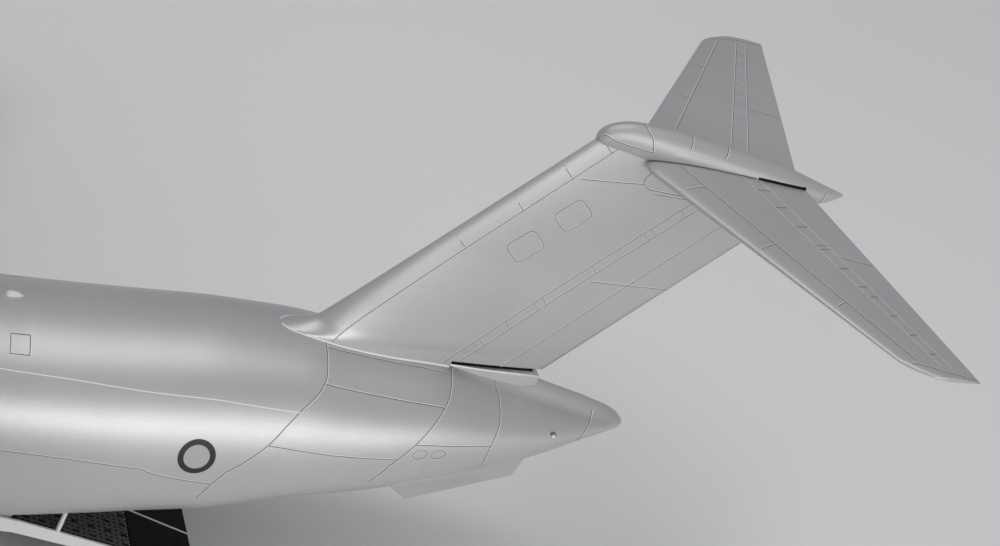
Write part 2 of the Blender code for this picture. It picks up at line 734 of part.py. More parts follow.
def make_strakes(hull_cutter):
    """The two canted ventral strakes under the tail."""
    for side, name in ((-1, "ventral_strake_port"), (1, "ventral_strake_starboard")):
        rings = []
        for thick in (-0.05, 0.05):
            ring = []
            for x, deep in ((40.3, -0.3), (45.0, -0.3), (45.0, 0.0), (44.5, 0.62), (41.05, 0.74), (40.3, 0.1)):
                _, _, bottom, middle, half, _ = between(FUSELAGE, x)
                angle = math.radians(38)
                out_y, out_z = math.sin(angle), -math.cos(angle)
                root_y, root_z = half * 0.62, middle - (middle - bottom) * 0.80
                y = root_y + out_y * deep - out_z * thick
                z = root_z + out_z * deep + out_y * thick
                ring.append((x, side * y, z))
            rings.append(ring)
        cut(loft(name, rings, "hull_grey", smooth=False), hull_cutter)


def sponson_ring(x, low, high, outer, side):
    """A rounded box from inside the fuselage's side out to the pod's edge."""
    inner = 2.2
    ring = []
    for i in range(11):
        angle = -math.pi / 2 + math.pi * i / 10
        y = inner + (outer - inner) * max(0.0, math.cos(angle)) ** 0.55
        z = (low + high) / 2 + (high - low) / 2 * math.copysign(abs(math.sin(angle)) ** 0.8, math.sin(angle))
        ring.append((x, side * y, z))
    return ring


def make_sponsons(hull_cutter, belly):
    """The pods along the lower sides that house the main gear."""
    table = (
        (17.0, 2.2, 3.0, 3.35),
        (18.2, 1.5, 3.7, 4.25),
        (20.0, SPONSON_FLOOR, 4.0, 4.85),
        (22.5, SPONSON_FLOOR, 4.1, 4.95),
        (27.2, SPONSON_FLOOR, 4.05, 4.75),
        (27.75, 1.6, 3.6, 3.95),
        (28.1, 2.2, 3.1, 3.35),
    )
    for side, name in ((-1, "gear_sponson_port"), (1, "gear_sponson_starboard")):
        pod = loft(name, [sponson_ring(*row, side) for row in table], "hull_grey")
        cut(pod, hull_cutter, belly)
        for x in MAIN_X:
            half = MAIN_RADIUS + 0.14
            rows = sorted((side * 2.0, side * 6.0))
            cut(pod, box("wheel_well_cutter", (x - half, rows[0], 0), (x + half, rows[1], 1.62)))


def make_wheels(name, centre, radius, width, offsets, axle_radius):
    """One turned solid: an axle with its wheels, each a tyre with rounded shoulders on a dished hub."""
    half = width / 2
    reach = max(offsets) + half * 0.9
    profile = [(-reach, 0.0), (-reach, axle_radius)]
    for offset in offsets:
        profile += [
            (offset - half * 0.55, axle_radius),
            (offset - half, 0.45 * radius),
            (offset - half, 0.86 * radius),
            (offset - half * 0.62, radius),
            (offset + half * 0.62, radius),
            (offset + half, 0.86 * radius),
            (offset + half, 0.45 * radius),
            (offset + half * 0.55, axle_radius),
        ]
    profile += [(reach, axle_radius), (reach, 0.0)]
    turned(name, centre, "Y", profile, "tyre", WHEEL_STEPS)


def make_main_gear():
    """Two legs a side, one behind the other, each a fork over a row of three wheels."""
    spots = {"port_front": (-1, 0), "port_rear": (-1, 1), "starboard_front": (1, 0), "starboard_rear": (1, 1)}
    for label, (side, row) in spots.items():
        x, y, z = MAIN_X[row], side * MAIN_ROW_Y, MAIN_RADIUS
        offsets = (-MAIN_WHEEL_STEP, 0, MAIN_WHEEL_STEP)
        make_wheels("main_wheels_" + label, (x, y, z), MAIN_RADIUS, 0.50, offsets, 0.085)
        make_leg("main_leg_" + label, (x, y, z))


def make_leg(name, axle):
    """A leg whose two lugs stand between the wheels and run round the axle."""
    x, y, z = axle
    bridge = MAIN_RADIUS + 0.09
    top = 1.62 - SEAT_GAP
    leg = box(name, (x - 0.21, y - 0.50, z + bridge), (x + 0.21, y + 0.50, z + bridge + 0.13), "white")
    pieces = [rod("leg_shape", (x, y, z + bridge + 0.04), (x, y, top), 0.16)]
    for lug_y in (y - MAIN_WHEEL_STEP / 2, y + MAIN_WHEEL_STEP / 2):
        low, high = (x - 0.13, lug_y - 0.07, z - 0.2), (x + 0.13, lug_y + 0.07, z + bridge + 0.07)
        pieces.append(box("lug_shape", low, high))
    join(leg, *pieces)
    cut(leg, rod("axle_cutter", (x, y - 2, z), (x, y + 2, z), 0.085 + 0.02, segments=16))


def gear_bay(room):
    """The nose gear's bay, an open box seated on the inside of the skin."""
    bay = box("bay_shape", (BAY_START - 0.14, -0.87, 0.9), (BAY_END + 0.14, 0.87, BAY_ROOF + 0.14))
    keep_inside(bay, room)
    return cut(bay, box("bay_cutter", (BAY_START, -0.72, 0.5), (BAY_END, 0.72, BAY_ROOF)))


def make_nose_gear(room, hull_cutter):
    """Leg, drag strut, twin wheels and two open doors."""
    x, z = NOSE_X, NOSE_RADIUS
    make_wheels("nose_wheels", (x, 0, z), NOSE_RADIUS, 0.36, (-NOSE_WHEEL_Y, NOSE_WHEEL_Y), 0.07)
    leg = rod("nose_leg", (x, 0, z - 0.15), (x - 0.12, 0, BAY_ROOF + 0.08), 0.12, "white")
    brace = rod("brace_shape", (x - 0.02, 0, z + 0.75), (x - 1.05, 0, BAY_ROOF + 0.09), 0.06)
    join(leg, brace, gear_bay(room))
    cut(leg, rod("nose_axle_cutter", (x, -1, z), (x, 1, z), 0.07 + 0.02, segments=16))
    for side, name in ((-1, "nose_gear_door_port"), (1, "nose_gear_door_starboard")):
        rings = []
        for z_door, spread in ((1.5, 0.81), (0.42, 0.98)):
            near, far = side * spread, side * (spread + 0.05)
            ends = (BAY_START + 0.1, BAY_END - 0.1)
            rings.append([(ends[0], near, z_door), (ends[1], near, z_door),
                          (ends[1], far, z_door), (ends[0], far, z_door)])
        cut(loft(name, rings, "hull_grey", smooth=False), hull_cutter)


clear_scene()
AIRCRAFT = collection("transport_plane")
CUTTERS = collection("cutters", hidden=True)
HOLD_CAVITY, BELLY = make_fuselage()
make_glazing(HOLD_CAVITY)
ROOM = inner_hull("room_cutter", SEAT_GAP)
make_cockpit(ROOM)
make_hold(ROOM)
make_ramp()
make_cargo_door()
HULL_CUTTER = hull("hull_cutter", SEAT_GAP)
make_wings()
make_wing_fairing(HULL_CUTTER)
for engine_number in ENGINES:
    make_engine(engine_number, HULL_CUTTER)
BULLET_CUTTER = loft("bullet_cutter", bullet_rings(SEAT_GAP))
loft("tailplane_fairing", bullet_rings(), "hull_grey")
make_fin(HULL_CUTTER, BULLET_CUTTER)
make_tailplane(BULLET_CUTTER)
make_strakes(HULL_CUTTER)
make_sponsons(HULL_CUTTER, BELLY)
make_main_gear()
make_nose_gear(ROOM, HULL_CUTTER)
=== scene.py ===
"""The looks of the model transport plane: smooth skins over the solids, engraved lines, paint, floor and light.

Sizes are the full-size aircraft's, in metres, and place() takes them to the model's frame, as in the part's source.
"""

from functools import partial
from math import asin, copysign, cos, degrees, pi, radians, sin, sqrt, tan

import bmesh
import bpy
from mathutils import Matrix, Vector


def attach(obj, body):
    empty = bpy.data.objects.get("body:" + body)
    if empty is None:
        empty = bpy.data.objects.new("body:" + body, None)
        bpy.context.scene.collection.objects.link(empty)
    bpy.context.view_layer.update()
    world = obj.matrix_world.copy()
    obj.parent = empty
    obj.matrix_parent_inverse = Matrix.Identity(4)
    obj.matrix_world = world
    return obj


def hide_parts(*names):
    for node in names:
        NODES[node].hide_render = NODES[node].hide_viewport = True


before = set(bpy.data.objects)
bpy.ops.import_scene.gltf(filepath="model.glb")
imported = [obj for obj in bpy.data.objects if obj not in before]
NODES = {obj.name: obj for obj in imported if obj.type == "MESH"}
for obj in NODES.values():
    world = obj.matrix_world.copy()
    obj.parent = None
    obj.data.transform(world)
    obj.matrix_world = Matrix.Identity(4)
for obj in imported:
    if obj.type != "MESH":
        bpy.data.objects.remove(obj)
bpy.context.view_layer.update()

SIDES = ((-1, "port"), (1, "starboard"))
SCALE = 1 / 144
X_MID = 26.54
SEAT_GAP = 0.029

# Camera: place in full-size metres, turned by these angles, with its focal length in picture widths
CAMERA_PLACE = (13.0865, -62.8619, 49.3197)
CAMERA_TURN, CAMERA_TILT, CAMERA_ROLL = -0.4347, 0.5065, 0.3645
CAMERA_LENS = 92.13

# Engraved lines on the model, in metres: half width of the dark groove, reach of the painted highlight along its lit
# edge on one side, lift
GROOVE = 0.00009
EDGE = 0.00024
LIFT = 0.00003

# Fuselage stations: x, top, bottom, height of the widest point, half width, roundness of the lower half
FUSELAGE = (
    (0.00, 3.17, 3.13, 3.15, 0.02, 2.0),
    (0.05, 3.45, 2.86, 3.14, 0.30, 2.0),
    (0.35, 3.88, 2.35, 3.12, 0.82, 2.0),
    (1.00, 4.42, 1.90, 3.15, 1.42, 2.0),
    (2.00, 5.05, 1.50, 3.30, 2.06, 2.1),
    (3.20, 6.20, 1.22, 3.60, 2.64, 2.3),
    (4.30, 7.00, 1.08, 3.90, 2.99, 2.5),
    (5.80, 7.52, 1.00, 4.20, 3.26, 2.7),
    (8.00, 7.79, 0.95, 4.35, 3.41, 2.9),
    (10.5, 7.83, 0.95, 4.40, 3.43, 3.1),
    (19.0, 7.80, 0.95, 4.40, 3.43, 3.1),
    (27.6, 7.73, 0.95, 4.40, 3.43, 3.2),
    (28.5, 7.76, 0.95, 4.40, 3.43, 3.2),
    (30.75, 7.86, 1.38, 4.40, 3.42, 3.1),
    (32.3, 7.96, 1.72, 4.42, 3.39, 3.05),
    (34.3, 8.07, 2.08, 4.50, 3.33, 2.95),
    (36.5, 8.04, 2.68, 4.75, 3.18, 2.8),
    (38.2, 7.84, 3.00, 4.95, 3.02, 2.7),
    (39.7, 7.69, 3.30, 5.12, 2.84, 2.7),
    (41.0, 7.58, 3.63, 5.25, 2.62, 2.6),
    (43.0, 7.12, 4.13, 5.44, 2.20, 2.5),
    (45.0, 6.66, 4.75, 5.62, 1.62, 2.4),
    (46.6, 6.36, 5.33, 5.82, 1.00, 2.2),
    (47.6, 6.22, 5.66, 5.93, 0.60, 2.1),
    (48.05, 6.10, 5.80, 5.95, 0.36, 2.0),
    (48.24, 5.96, 5.93, 5.945, 0.03, 2.0),
)
# The low spine along the top of the tail cone: x and its height above the round skin
SPINE = ((41.0, 0.0), (43.0, 0.28), (44.75, 0.47), (46.6, 0.37), (47.6, 0.20), (48.05, 0.07), (48.24, 0.0))
SPINE_HALF_WIDTH = 0.55

# Ramp
RAMP_HINGE_X, FLOOR_TOP = 28.9, 1.63
RAMP_OPEN = radians(12.4)
TOE_SLOPE = radians(19.0)
TREAD_END, TOE_LENGTH = 3.88, 2.22
RAMP_HALF_WIDTH, RAIL_WIDTH = 2.92, 0.14

# Wing, fin and tailplane
WING_KINK_Y = 10.4
WING_TIP_Y = 25.15
WING_LEAD_X, WING_Z = 14.4, 7.92
WING_SWEEP = tan(radians(27.5))
WING_TIP_CHORD = 3.0
WING_DROOP = tan(radians(2.6))
WING_TRAIL = ((0.0, 26.0), (WING_KINK_Y, 26.2), (WING_TIP_Y, WING_LEAD_X + WING_SWEEP * WING_TIP_Y + WING_TIP_CHORD))
FIN_LEAD = ((36.55, 7.85), (43.75, 16.15))
FIN_TRAIL = ((45.12, 7.85), (52.2, 16.15))
FIN_HALF_THICK = 0.42
# Tailplane: half span, height, and edges as x on the centreline and how much further aft the tip is
TAIL_SPAN, TAIL_Z, TAIL_DROOP = 9.905, 15.7, 0.016
TAIL_LEAD, TAIL_TRAIL = (44.88, 6.07), (50.76, 2.32)
ENGINES = {1: (-14.3, 17.7, 4.35), 2: (-7.6, 13.8, 4.75), 3: (7.6, 13.8, 4.75), 4: (14.3, 17.7, 4.35)}
NOSE_X = 5.1
BAY_START, BAY_END = 3.6, 6.1
MAIN_X = (23.9, 26.4)
# Wing foil, as shares of the chord: rise of its middle line, half thickness at the root, and how much the tip has less
WING_CAMBER, WING_THICK, WING_THINNING = 0.015, 0.070, 0.020
# Foot of the fin: its swell, a lip that reaches forward and a nose that grows blunter, each from a height downwards
SWELL_SIZE, SWELL_TOP, SWELL_DEPTH = 0.24, 11.6, 4
LIP_REACH, LIP_TOP, LIP_DEPTH = 0.8, 8.46, 0.42
BLUNT_SIZE, BLUNT_TOP, BLUNT_DEPTH, BLUNT_SHARE = 0.7, 9.2, 1.2, 0.3
# How far the tailplane's leading edge bends aft at the tip and at the root, from where, and over what length
TIP_BEND, TIP_BEND_Y, TIP_BEND_LENGTH = 0.62, 9.2, 0.705
ROOT_BEND, ROOT_BEND_Y, ROOT_BEND_LENGTH = 0.32, 0.95, 0.65
TAIL_THICK = 0.048


def place(x, y, z):
    """A full-size point in the model's own frame."""
    return Vector(((x - X_MID) * SCALE, y * SCALE, z * SCALE))


# Paint: share of the fine speckle in the tone, and its reach in the roughness
SPECKLE, ROUGH_REACH = 0.7, 0.06


def set_inputs(node, values):
    """An underscore stands for a space in an input's name."""
    for key, value in values.items():
        node.inputs[key.replace("_", " ")].default_value = value
    return node


def shader_of(name, **values):
    made = bpy.data.materials.new(name)
    made.use_nodes = True
    return made, set_inputs(made.node_tree.nodes["Principled BSDF"], values)


def paint(name, colour, roughness, metallic=0.0, grain=0.00002, grain_scale=5200, mottle=0.06, specular=0.5):
    """Sprayed model paint: a fine grain in its bump and a soft change of tone over the surface."""
    made, shader = shader_of(name, Metallic=metallic, Specular_IOR_Level=specular)
    made.diffuse_color = (*colour, 1)
    tree = made.node_tree

    def new(kind, **values):
        return set_inputs(tree.nodes.new("ShaderNode" + kind), values)

    where = new("TexCoord")
    cloud = new("TexNoise", Scale=24, Detail=5)
    tone = new("ValToRGB")
    for stop, position, share in zip(tone.color_ramp.elements, (0.3, 0.7), (1 - mottle, 1 + mottle)):
        stop.position = position
        stop.color = (*(c * share for c in colour), 1)
    speckle = new("TexNoise", Scale=grain_scale, Detail=2)
    rough = new("MapRange", To_Min=roughness - ROUGH_REACH, To_Max=roughness + ROUGH_REACH)
    bump = new("Bump", Strength=0.4, Distance=grain)
    blend, shift = new("Math"), new("Math")
    blend.operation, shift.operation = "MULTIPLY_ADD", "SUBTRACT"
    blend.inputs[1].default_value, shift.inputs[1].default_value = SPECKLE, SPECKLE / 2
    for source, output, target, entry in (
        (where, "Object", cloud, "Vector"), (where, "Object", speckle, "Vector"),
        (speckle, "Fac", blend, 0), (cloud, "Fac", blend, 2),
        (blend, "Value", shift, 0), (shift, "Value", tone, "Fac"), (tone, "Color", shader, "Base Color"),
        (speckle, "Fac", rough, "Value"), (rough, "Result", shader, "Roughness"),
        (speckle, "Fac", bump, "Height"), (bump, "Normal", shader, "Normal"),
    ):
        tree.links.new(source.outputs[output], target.inputs[entry])
    return made


HULL = paint("hull_paint", (0.58, 0.58, 0.585), 0.41, 0.56, grain=0.00005, grain_scale=3000, mottle=0.05)
# The hull's paint, rougher, and darker as painted shade, for the tail's fairing and the swellings at the tailplane's
# root
SATIN_SHADED = paint("fairing_paint_shaded", (0.53, 0.53, 0.535), 0.5, 0.5, mottle=0.03)
LINE_DARK = paint("groove_shade", (0.15, 0.15, 0.155), 0.55, 0.3, mottle=0.03)
# Near-white paint for painted highlights: the lit edge beside each groove, the lines drawn light, and the bead at the
# fin's foot
LINE_HIGHLIGHT = paint("groove_highlight", (0.93, 0.93, 0.93), 0.5, mottle=0.03)
INTERIOR = paint("interior_paint", (0.20, 0.205, 0.21), 0.6)
WHITE = paint("white_paint", (0.80, 0.80, 0.79), 0.42)
DECK = paint("deck_paint", (0.022, 0.022, 0.023), 0.6)
TREAD = paint("tread_paint", (0.13, 0.13, 0.132), 0.5)
BLACK = paint("black_paint", (0.004, 0.004, 0.0045), 0.6, specular=0.12)
MARKING = paint("marking_ink", (0.02, 0.02, 0.022), 0.45)
MARK_LIGHT = paint("marking_light", (0.50, 0.50, 0.505), 0.45)
TYRE = paint("tyre_paint", (0.025, 0.025, 0.027), 0.75, mottle=0.15)
METAL = paint("silver_paint", (0.50, 0.50, 0.51), 0.32, 0.85)
BURNT = paint("burnt_paint", (0.20, 0.18, 0.17), 0.42, 0.8, mottle=0.15)
SEAT = paint("seat_paint", (0.05, 0.06, 0.05), 0.7)
GLASS, _ = shader_of("smoked_clear", Base_Color=(0.02, 0.025, 0.03, 1), Roughness=0.06, Alpha=0.62, Coat_Weight=0.6)
GLASS.diffuse_color = (0.05, 0.06, 0.07, 0.6)


# Building: each of loft, spin and rod adds a closed form to a shape

# Shading breaks at edges sharper than this, in degrees
SHARP_ANGLE = 32


def smooth(mesh, angle=SHARP_ANGLE):
    mesh.shade_smooth()
    mesh.set_sharp_from_angle(angle=radians(angle))


def from_shape(name, shape, *materials, angle=SHARP_ANGLE, turn_out=True):
    if turn_out:
        bmesh.ops.recalc_face_normals(shape, faces=shape.faces)
    mesh = bpy.data.meshes.new(name)
    shape.to_mesh(mesh)
    shape.free()
    obj = bpy.data.objects.new(name, mesh)
    bpy.context.scene.collection.objects.link(obj)
    for one in materials:
        mesh.materials.append(one)
    smooth(mesh, angle)
    return obj


def join_rings(shape, first, second):
    """Faces between two closed rings of vertices."""
    return [shape.faces.new(corners) for corners in zip(first, first[1:] + first[:1], second[1:] + second[:1], second)]


def loft(shape, rings):
    """A closed skin through rings of full-size points, capped at both ends."""
    made = [[shape.verts.new(place(*point)) for point in ring] for ring in rings]
    for first, second in zip(made, made[1:]):
        join_rings(shape, first, second)
    shape.faces.new(made[0])
    shape.faces.new(made[-1])
    return shape


def lofted(name, rings, *materials):
    return from_shape(name, loft(bmesh.new(), rings), *materials)


def block_rings(low, high):
    (x0, y0, z0), (x1, y1, z1) = low, high
    return [[(x, y0, z0), (x, y1, z0), (x, y1, z1), (x, y0, z1)] for x in (x0, x1)]


def turns(count, start=0.0):
    """Angles all round, in radians."""
    return [2 * pi * (i + start) / count for i in range(count)]


def spin(shape, centre, axis, profile, steps):
    """A turned solid: profile holds (distance along the axis, radius) pairs."""
    rings = []
    for along, radius in profile:
        spots = []
        for t in turns(steps) if radius else (0.0,):
            a, b = radius * cos(t), radius * sin(t)
            spot = Vector(centre) + Vector((along, a, b) if axis == "X" else (a, along, b))
            spots.append(shape.verts.new(place(*spot)))
        rings.append(spots if radius else spots * steps)
    for first, second in zip(rings, rings[1:] + rings[:1] if profile[0][1] else rings[1:]):
        for i in range(steps):
            corners = (first[i - steps], second[i - steps], second[i + 1 - steps], first[i + 1 - steps])
            shape.faces.new(tuple(dict.fromkeys(corners)))
    return shape


def rod(shape, start, end, radius, steps=16):
    first, last = Vector(start), Vector(end)
    turn = (last - first).to_track_quat("Z", "Y").to_matrix()
    ring = [turn @ Vector((radius * cos(t), radius * sin(t), 0)) for t in turns(steps)]
    return loft(shape, [[middle + point for point in ring] for middle in (first, last)])


def carve(obj, *steps):
    """Applies EXACT Booleans, given as (operation, other)."""
    for operation, other in steps:
        step = obj.modifiers.new("carve", "BOOLEAN")
        step.operation, step.object, step.solver, step.material_mode = operation, other, "EXACT", "TRANSFER"
    bpy.context.view_layer.update()
    obj.data = bpy.data.meshes.new_from_object(obj.evaluated_get(bpy.context.evaluated_depsgraph_get()))
    obj.modifiers.clear()
    smooth(obj.data)
    return obj


def discard(*objs):
    for obj in objs:
        bpy.data.objects.remove(obj)


def ride(obj, *nodes, body="airframe", slot=None):
    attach(obj, body)
    if nodes:
        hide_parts(*nodes)
    return obj


def clad(obj, *nodes):
    """A painted skin of the airframe that stands for these solids."""
    return ride(obj, *nodes, slot="hull_grey")


def skin_piece(name, rings, *nodes, shade=HULL):
    return clad(lofted(name, rings, shade), *nodes)


def detail(name, shape, *materials, body="airframe"):
    """A piece that stands for no solid."""
    return ride(from_shape(name, shape, *materials), body=body)


# Surfaces


def clamp(share):
    return min(1.0, max(0.0, share))


def smooth_table(rows, steps, round_ends=False):
    """Rows between the given ones, on curves that never overshoot; round ends start square to X."""
    count, width = len(rows), len(rows[0])
    rise = [[b - a for a, b in zip(rows[i], rows[i + 1])] for i in range(count - 1)]
    slope = [list(rise[0])]
    for before, after in zip(rise, rise[1:]):
        slope.append([2 * a * b / (a + b) if a * b > 0 else 0.0 for a, b in zip(before, after)])
    slope.append(list(rise[-1]))
    if round_ends:
        slope[0][0] = slope[-1][0] = 0.0
    made = []
    for i in range(count - 1):
        for k in range(steps):
            t = k / steps
            t2, t3 = t * t, t * t * t
            made.append(tuple(
                (2 * t3 - 3 * t2 + 1) * rows[i][c] + (t3 - 2 * t2 + t) * slope[i][c]
                + (3 * t2 - 2 * t3) * rows[i + 1][c] + (t3 - t2) * slope[i + 1][c]
                for c in range(width)
            ))
    made.append(tuple(rows[-1]))
    return made


HULL_ROWS = smooth_table(FUSELAGE, 8, True)


def between(rows, x):
    """The row at x, on straight lines between the given rows."""
    for low, high in zip(rows, rows[1:]):
        if x <= high[0]:
            share = 0.0 if high[0] == low[0] else max(0.0, (x - low[0]) / (high[0] - low[0]))
            return [a + (b - a) * share for a, b in zip(low, high)]
    return list(rows[-1])


def hull_row(x):
    return between(HULL_ROWS, x)


def hull_point(x, angle, grow=0.0, row=None):
    """A point on the fuselage at station x; angle runs from 0 at starboard over 90 on top, in degrees."""
    _, top, bottom, middle, half, fullness = row or hull_row(x)
    side, rise = cos(radians(angle)), sin(radians(angle))
    power = 2.0 if rise > 0 else fullness
    depth = (top - middle if rise > 0 else middle - bottom) + grow
    y = (half + grow) * copysign(abs(side) ** (2 / power), side)
    lift = between(SPINE, x)[1] * max(0.0, 1 - (y / SPINE_HALF_WIDTH) ** 2) ** 2 if rise > 0 else 0.0
    return x, y, middle + lift + depth * copysign(abs(rise) ** (2 / power), rise)


def hull_ring(row, points, grow=0.0):
    return [hull_point(row[0], 360 * (i + 0.5) / points, grow, row) for i in range(points)]


def hull_side(x, z, side, grow=0.0):
    """The point on the fuselage's flank at that station and height."""
    _, top, bottom, middle, half, fullness = hull_row(x)
    power = 2.0 if z > middle else fullness
    share = (z - middle) / ((top - middle if z > middle else middle - bottom) + 1e-9)
    return x, side * ((half + grow) * max(0.0, 1 - min(1, abs(share)) ** power) ** (1 / power)), z


def thickness(c):
    """Half thickness of the foil at that share of its chord, 1 at its thickest."""
    c = clamp(c)
    if c >= 1:
        return 0.05
    return 10 * (0.2969 * sqrt(c) - 0.126 * c - 0.3516 * c**2 + 0.2843 * c**3 - 0.1036 * c**4)


def foil(points=33):
    upper = [((1 - cos(pi * i / (points - 1))) / 2) for i in range(points)]
    upper = [(c, thickness(c)) for c in upper]
    return upper + [(c, -t) for c, t in reversed(upper[1:])]


def wing_line(y):
    """Leading edge, trailing edge and height of the wing at y."""
    return WING_LEAD_X + WING_SWEEP * y, between(WING_TRAIL, y)[1], WING_Z - WING_DROOP * y


def foil_ring(x, chord, y, z, half_y, half_z, points):
    """A foil's outline along x, as thick as half_y to the sides or half_z upwards."""
    return [(x + chord * c, y + half_y * t, z + half_z * t) for c, t in foil(points)]


def wing_height(c, y, t):
    """Height of the wing's skin at share c of its chord; t is the foil's half thickness, below 0 underneath."""
    lead, trail, height = wing_line(y)
    chord = trail - lead
    return height - WING_CAMBER * chord * cos(pi * c) + chord * (WING_THICK - WING_THINNING * y / WING_TIP_Y) * t


def wing_point(x, y, up):
    """A point on the wing's upper or lower skin."""
    lead, trail, _ = wing_line(abs(y))
    c = (x - lead) / (trail - lead)
    return x, y, wing_height(c, abs(y), up * thickness(c))


def wing_spot(c, y, side):
    """The plan point at share c of the wing's chord."""
    lead, trail, _ = wing_line(y)
    return lead + (trail - lead) * c, side * y


def wing_ring(y, side):
    return [(*wing_spot(c, y, side), wing_height(c, y, t)) for c, t in foil()]


def fin_chord(z):
    share = (z - FIN_LEAD[0][1]) / (FIN_LEAD[1][1] - FIN_LEAD[0][1])
    lead, trail = (edge[0][0] + (edge[1][0] - edge[0][0]) * share for edge in (FIN_LEAD, FIN_TRAIL))
    return lead - LIP_REACH * clamp((LIP_TOP - z) / LIP_DEPTH) ** 2.0, trail


def fin_half(z):
    """Half the fin's thickness at height z; it swells a little at the foot."""
    return FIN_HALF_THICK * (1 - 0.25 * (z - 7) / 9) + SWELL_SIZE * max(0.0, (SWELL_TOP - z) / SWELL_DEPTH) ** 1.5


def fin_thickness(c, z):
    """The foil's half thickness on the fin, whose nose grows blunter towards the foot."""
    swell = BLUNT_SIZE * clamp((BLUNT_TOP - z) / BLUNT_DEPTH) ** 1.5
    return thickness(c) + swell * sqrt(max(0.0, c)) * max(0.0, 1 - c / BLUNT_SHARE) ** 2


def fin_point(x, z, side):
    lead, trail = fin_chord(z)
    return x, side * fin_half(z) * fin_thickness((x - lead) / (trail - lead), z), z


def tail_line(y):
    """Leading edge, trailing edge and height of the tailplane at y."""
    share = y / TAIL_SPAN
    bend = TIP_BEND * max(0.0, (y - TIP_BEND_Y) / TIP_BEND_LENGTH) ** 2
    bend += ROOT_BEND * max(0.0, (ROOT_BEND_Y - y) / ROOT_BEND_LENGTH) ** 2
    return TAIL_LEAD[0] + TAIL_LEAD[1] * share + bend, TAIL_TRAIL[0] + TAIL_TRAIL[1] * share, TAIL_Z - TAIL_DROOP * y


def tail_point(x, y, up):
    lead, trail, height = tail_line(abs(y))
    return x, y, height + up * TAIL_THICK * (trail - lead) * thickness((x - lead) / (trail - lead))


# Engraved lines

# Half the distance over which a surface's slope is read, and the height of the fuselage's axis
SLOPE_STEP, HULL_AXIS_Z = 0.03, 4.6


def facing(*direction):
    """Outward in one direction everywhere."""
    return lambda spot: Vector(direction)


class Grooves:
    """Thin strips on a surface: a dark groove with a painted highlight as its lit edge on one side. outward says which
    way is out.
    """

    def __init__(self, name, outward, shade=LINE_DARK):
        self.name, self.outward, self.shade, self.shape = name, outward, shade, bmesh.new()

    def normal(self, surface, u, v, spot):
        du = place(*surface(u + SLOPE_STEP, v)) - place(*surface(u - SLOPE_STEP, v))
        dv = place(*surface(u, v + SLOPE_STEP)) - place(*surface(u, v - SLOPE_STEP))
        normal = du.cross(dv).normalized()
        return -normal if normal.dot(self.outward(spot)) < 0 else normal

    def line(self, points, surface, width=1.0, closed=False, step=0.18, lit=True):
        """A line through plan points; surface takes (u, v) to a full-size point on the skin."""
        points = [Vector(p) for p in points]
        if closed:
            points.append(points[0])
        path = []
        for a, b in zip(points, points[1:]):
            count = max(1, int((b - a).length / step))
            path += [a.lerp(b, i / count) for i in range(count)]
        path.append(points[-1])
        spots = [place(*surface(p.x, p.y)) for p in path]
        rows = []
        for i, (p, spot) in enumerate(zip(path, spots)):
            normal = self.normal(surface, p.x, p.y, spot)
            ends = (1, -2) if closed and i in (0, len(path) - 1) else (min(i + 1, len(spots) - 1), max(i - 1, 0))
            along = spots[ends[0]] - spots[ends[1]]
            if along.length < 1e-7 or normal.length < 0.5:
                continue
            across = normal.cross(along.normalized())
            rows.append([
                self.shape.verts.new(spot + normal * LIFT * k + across * off * width)
                for off, k in ((-GROOVE, 1.0), (GROOVE, 1.0), (EDGE, 0.6))
            ])
        for first, second in zip(rows, rows[1:]):
            for k in range(2 if lit else 1):
                face = self.shape.faces.new((first[k], second[k], second[k + 1], first[k + 1]))
                face.material_index = k

    def loop(self, centre, size, surface, turn=0.0, corner=0.3, width=0.8):
        """A rounded rectangle about centre; size is its half lengths and turn its angle in degrees."""
        points = []
        w, h = size
        r = corner * min(w, h)
        for cx, cy, start in ((w - r, h - r, 0), (-w + r, h - r, 90), (-w + r, -h + r, 180), (w - r, -h + r, 270)):
            for k in range(5):
                a = radians(start + 22.5 * k)
                points.append(Vector((cx + r * cos(a), cy + r * sin(a))))
        turned = Matrix.Rotation(radians(turn), 2)
        self.line([Vector(centre) + turned @ p for p in points], surface, width, closed=True, step=0.1)

    def done(self):
        return ride(from_shape(self.name, self.shape, self.shade, LINE_HIGHLIGHT, angle=180, turn_out=False))


def hull_out(spot):
    return Vector((0, spot.y, spot.z - HULL_AXIS_Z * SCALE))


# Fuselage

# The way in over the ramp: x and half width, and how much wider it is cut
BELLY = ((28.78, RAMP_HALF_WIDTH), (35.15, RAMP_HALF_WIDTH - 0.1), (35.27, 2.22), (41.52, 1.37))
BELLY_CLEARANCE, BELLY_DEPTH = 0.06, 1.15
# The hollow inside: first station, length, thickness of the wall; and the nose gear's bay
HOLLOW_START, HOLLOW_LENGTH, WALL = 2.9, 39.7, 0.17
BAY_HALF_WIDTH, BAY_TOP = 0.72, 2.0
# Windscreen: the band of the panes, and each post's place, the way it faces in degrees and how far its head leans
SILL_Z, HEAD_Z, BAND_FRONT, BAND_AFT = 5.28, 6.42, 1.6, 5.2
POSTS = ((2.3, 0.0, 0, 0), (2.3, 1.13, 12, 0.3), (3.0, 2.05, 42, 0.25), (4.05, 2.6, 75, 0.1))
POST_HALF_WIDTH, POST_INSIDE, POST_PROUD, PANE_INSET = 0.055, -0.10, 0.012, -0.02


def belly_cutter():
    rings = []
    for x, half in BELLY:
        half, top = half + BELLY_CLEARANCE, hull_row(x)[2] + BELLY_DEPTH
        rings.append([(x, -half, -1), (x, half, -1), (x, half, top), (x, -half, top)])
    return lofted("belly", rings, HULL)


def window_band(grow, shade=HULL):
    return lofted("band", [[
        (BAND_FRONT, y, SILL_Z - grow), (BAND_AFT + grow, y, SILL_Z + 0.16 - grow),
        (BAND_AFT - 0.25 + grow, y, HEAD_Z + grow), (BAND_FRONT, y, HEAD_Z + grow),
    ] for y in (-4, 4)], shade)


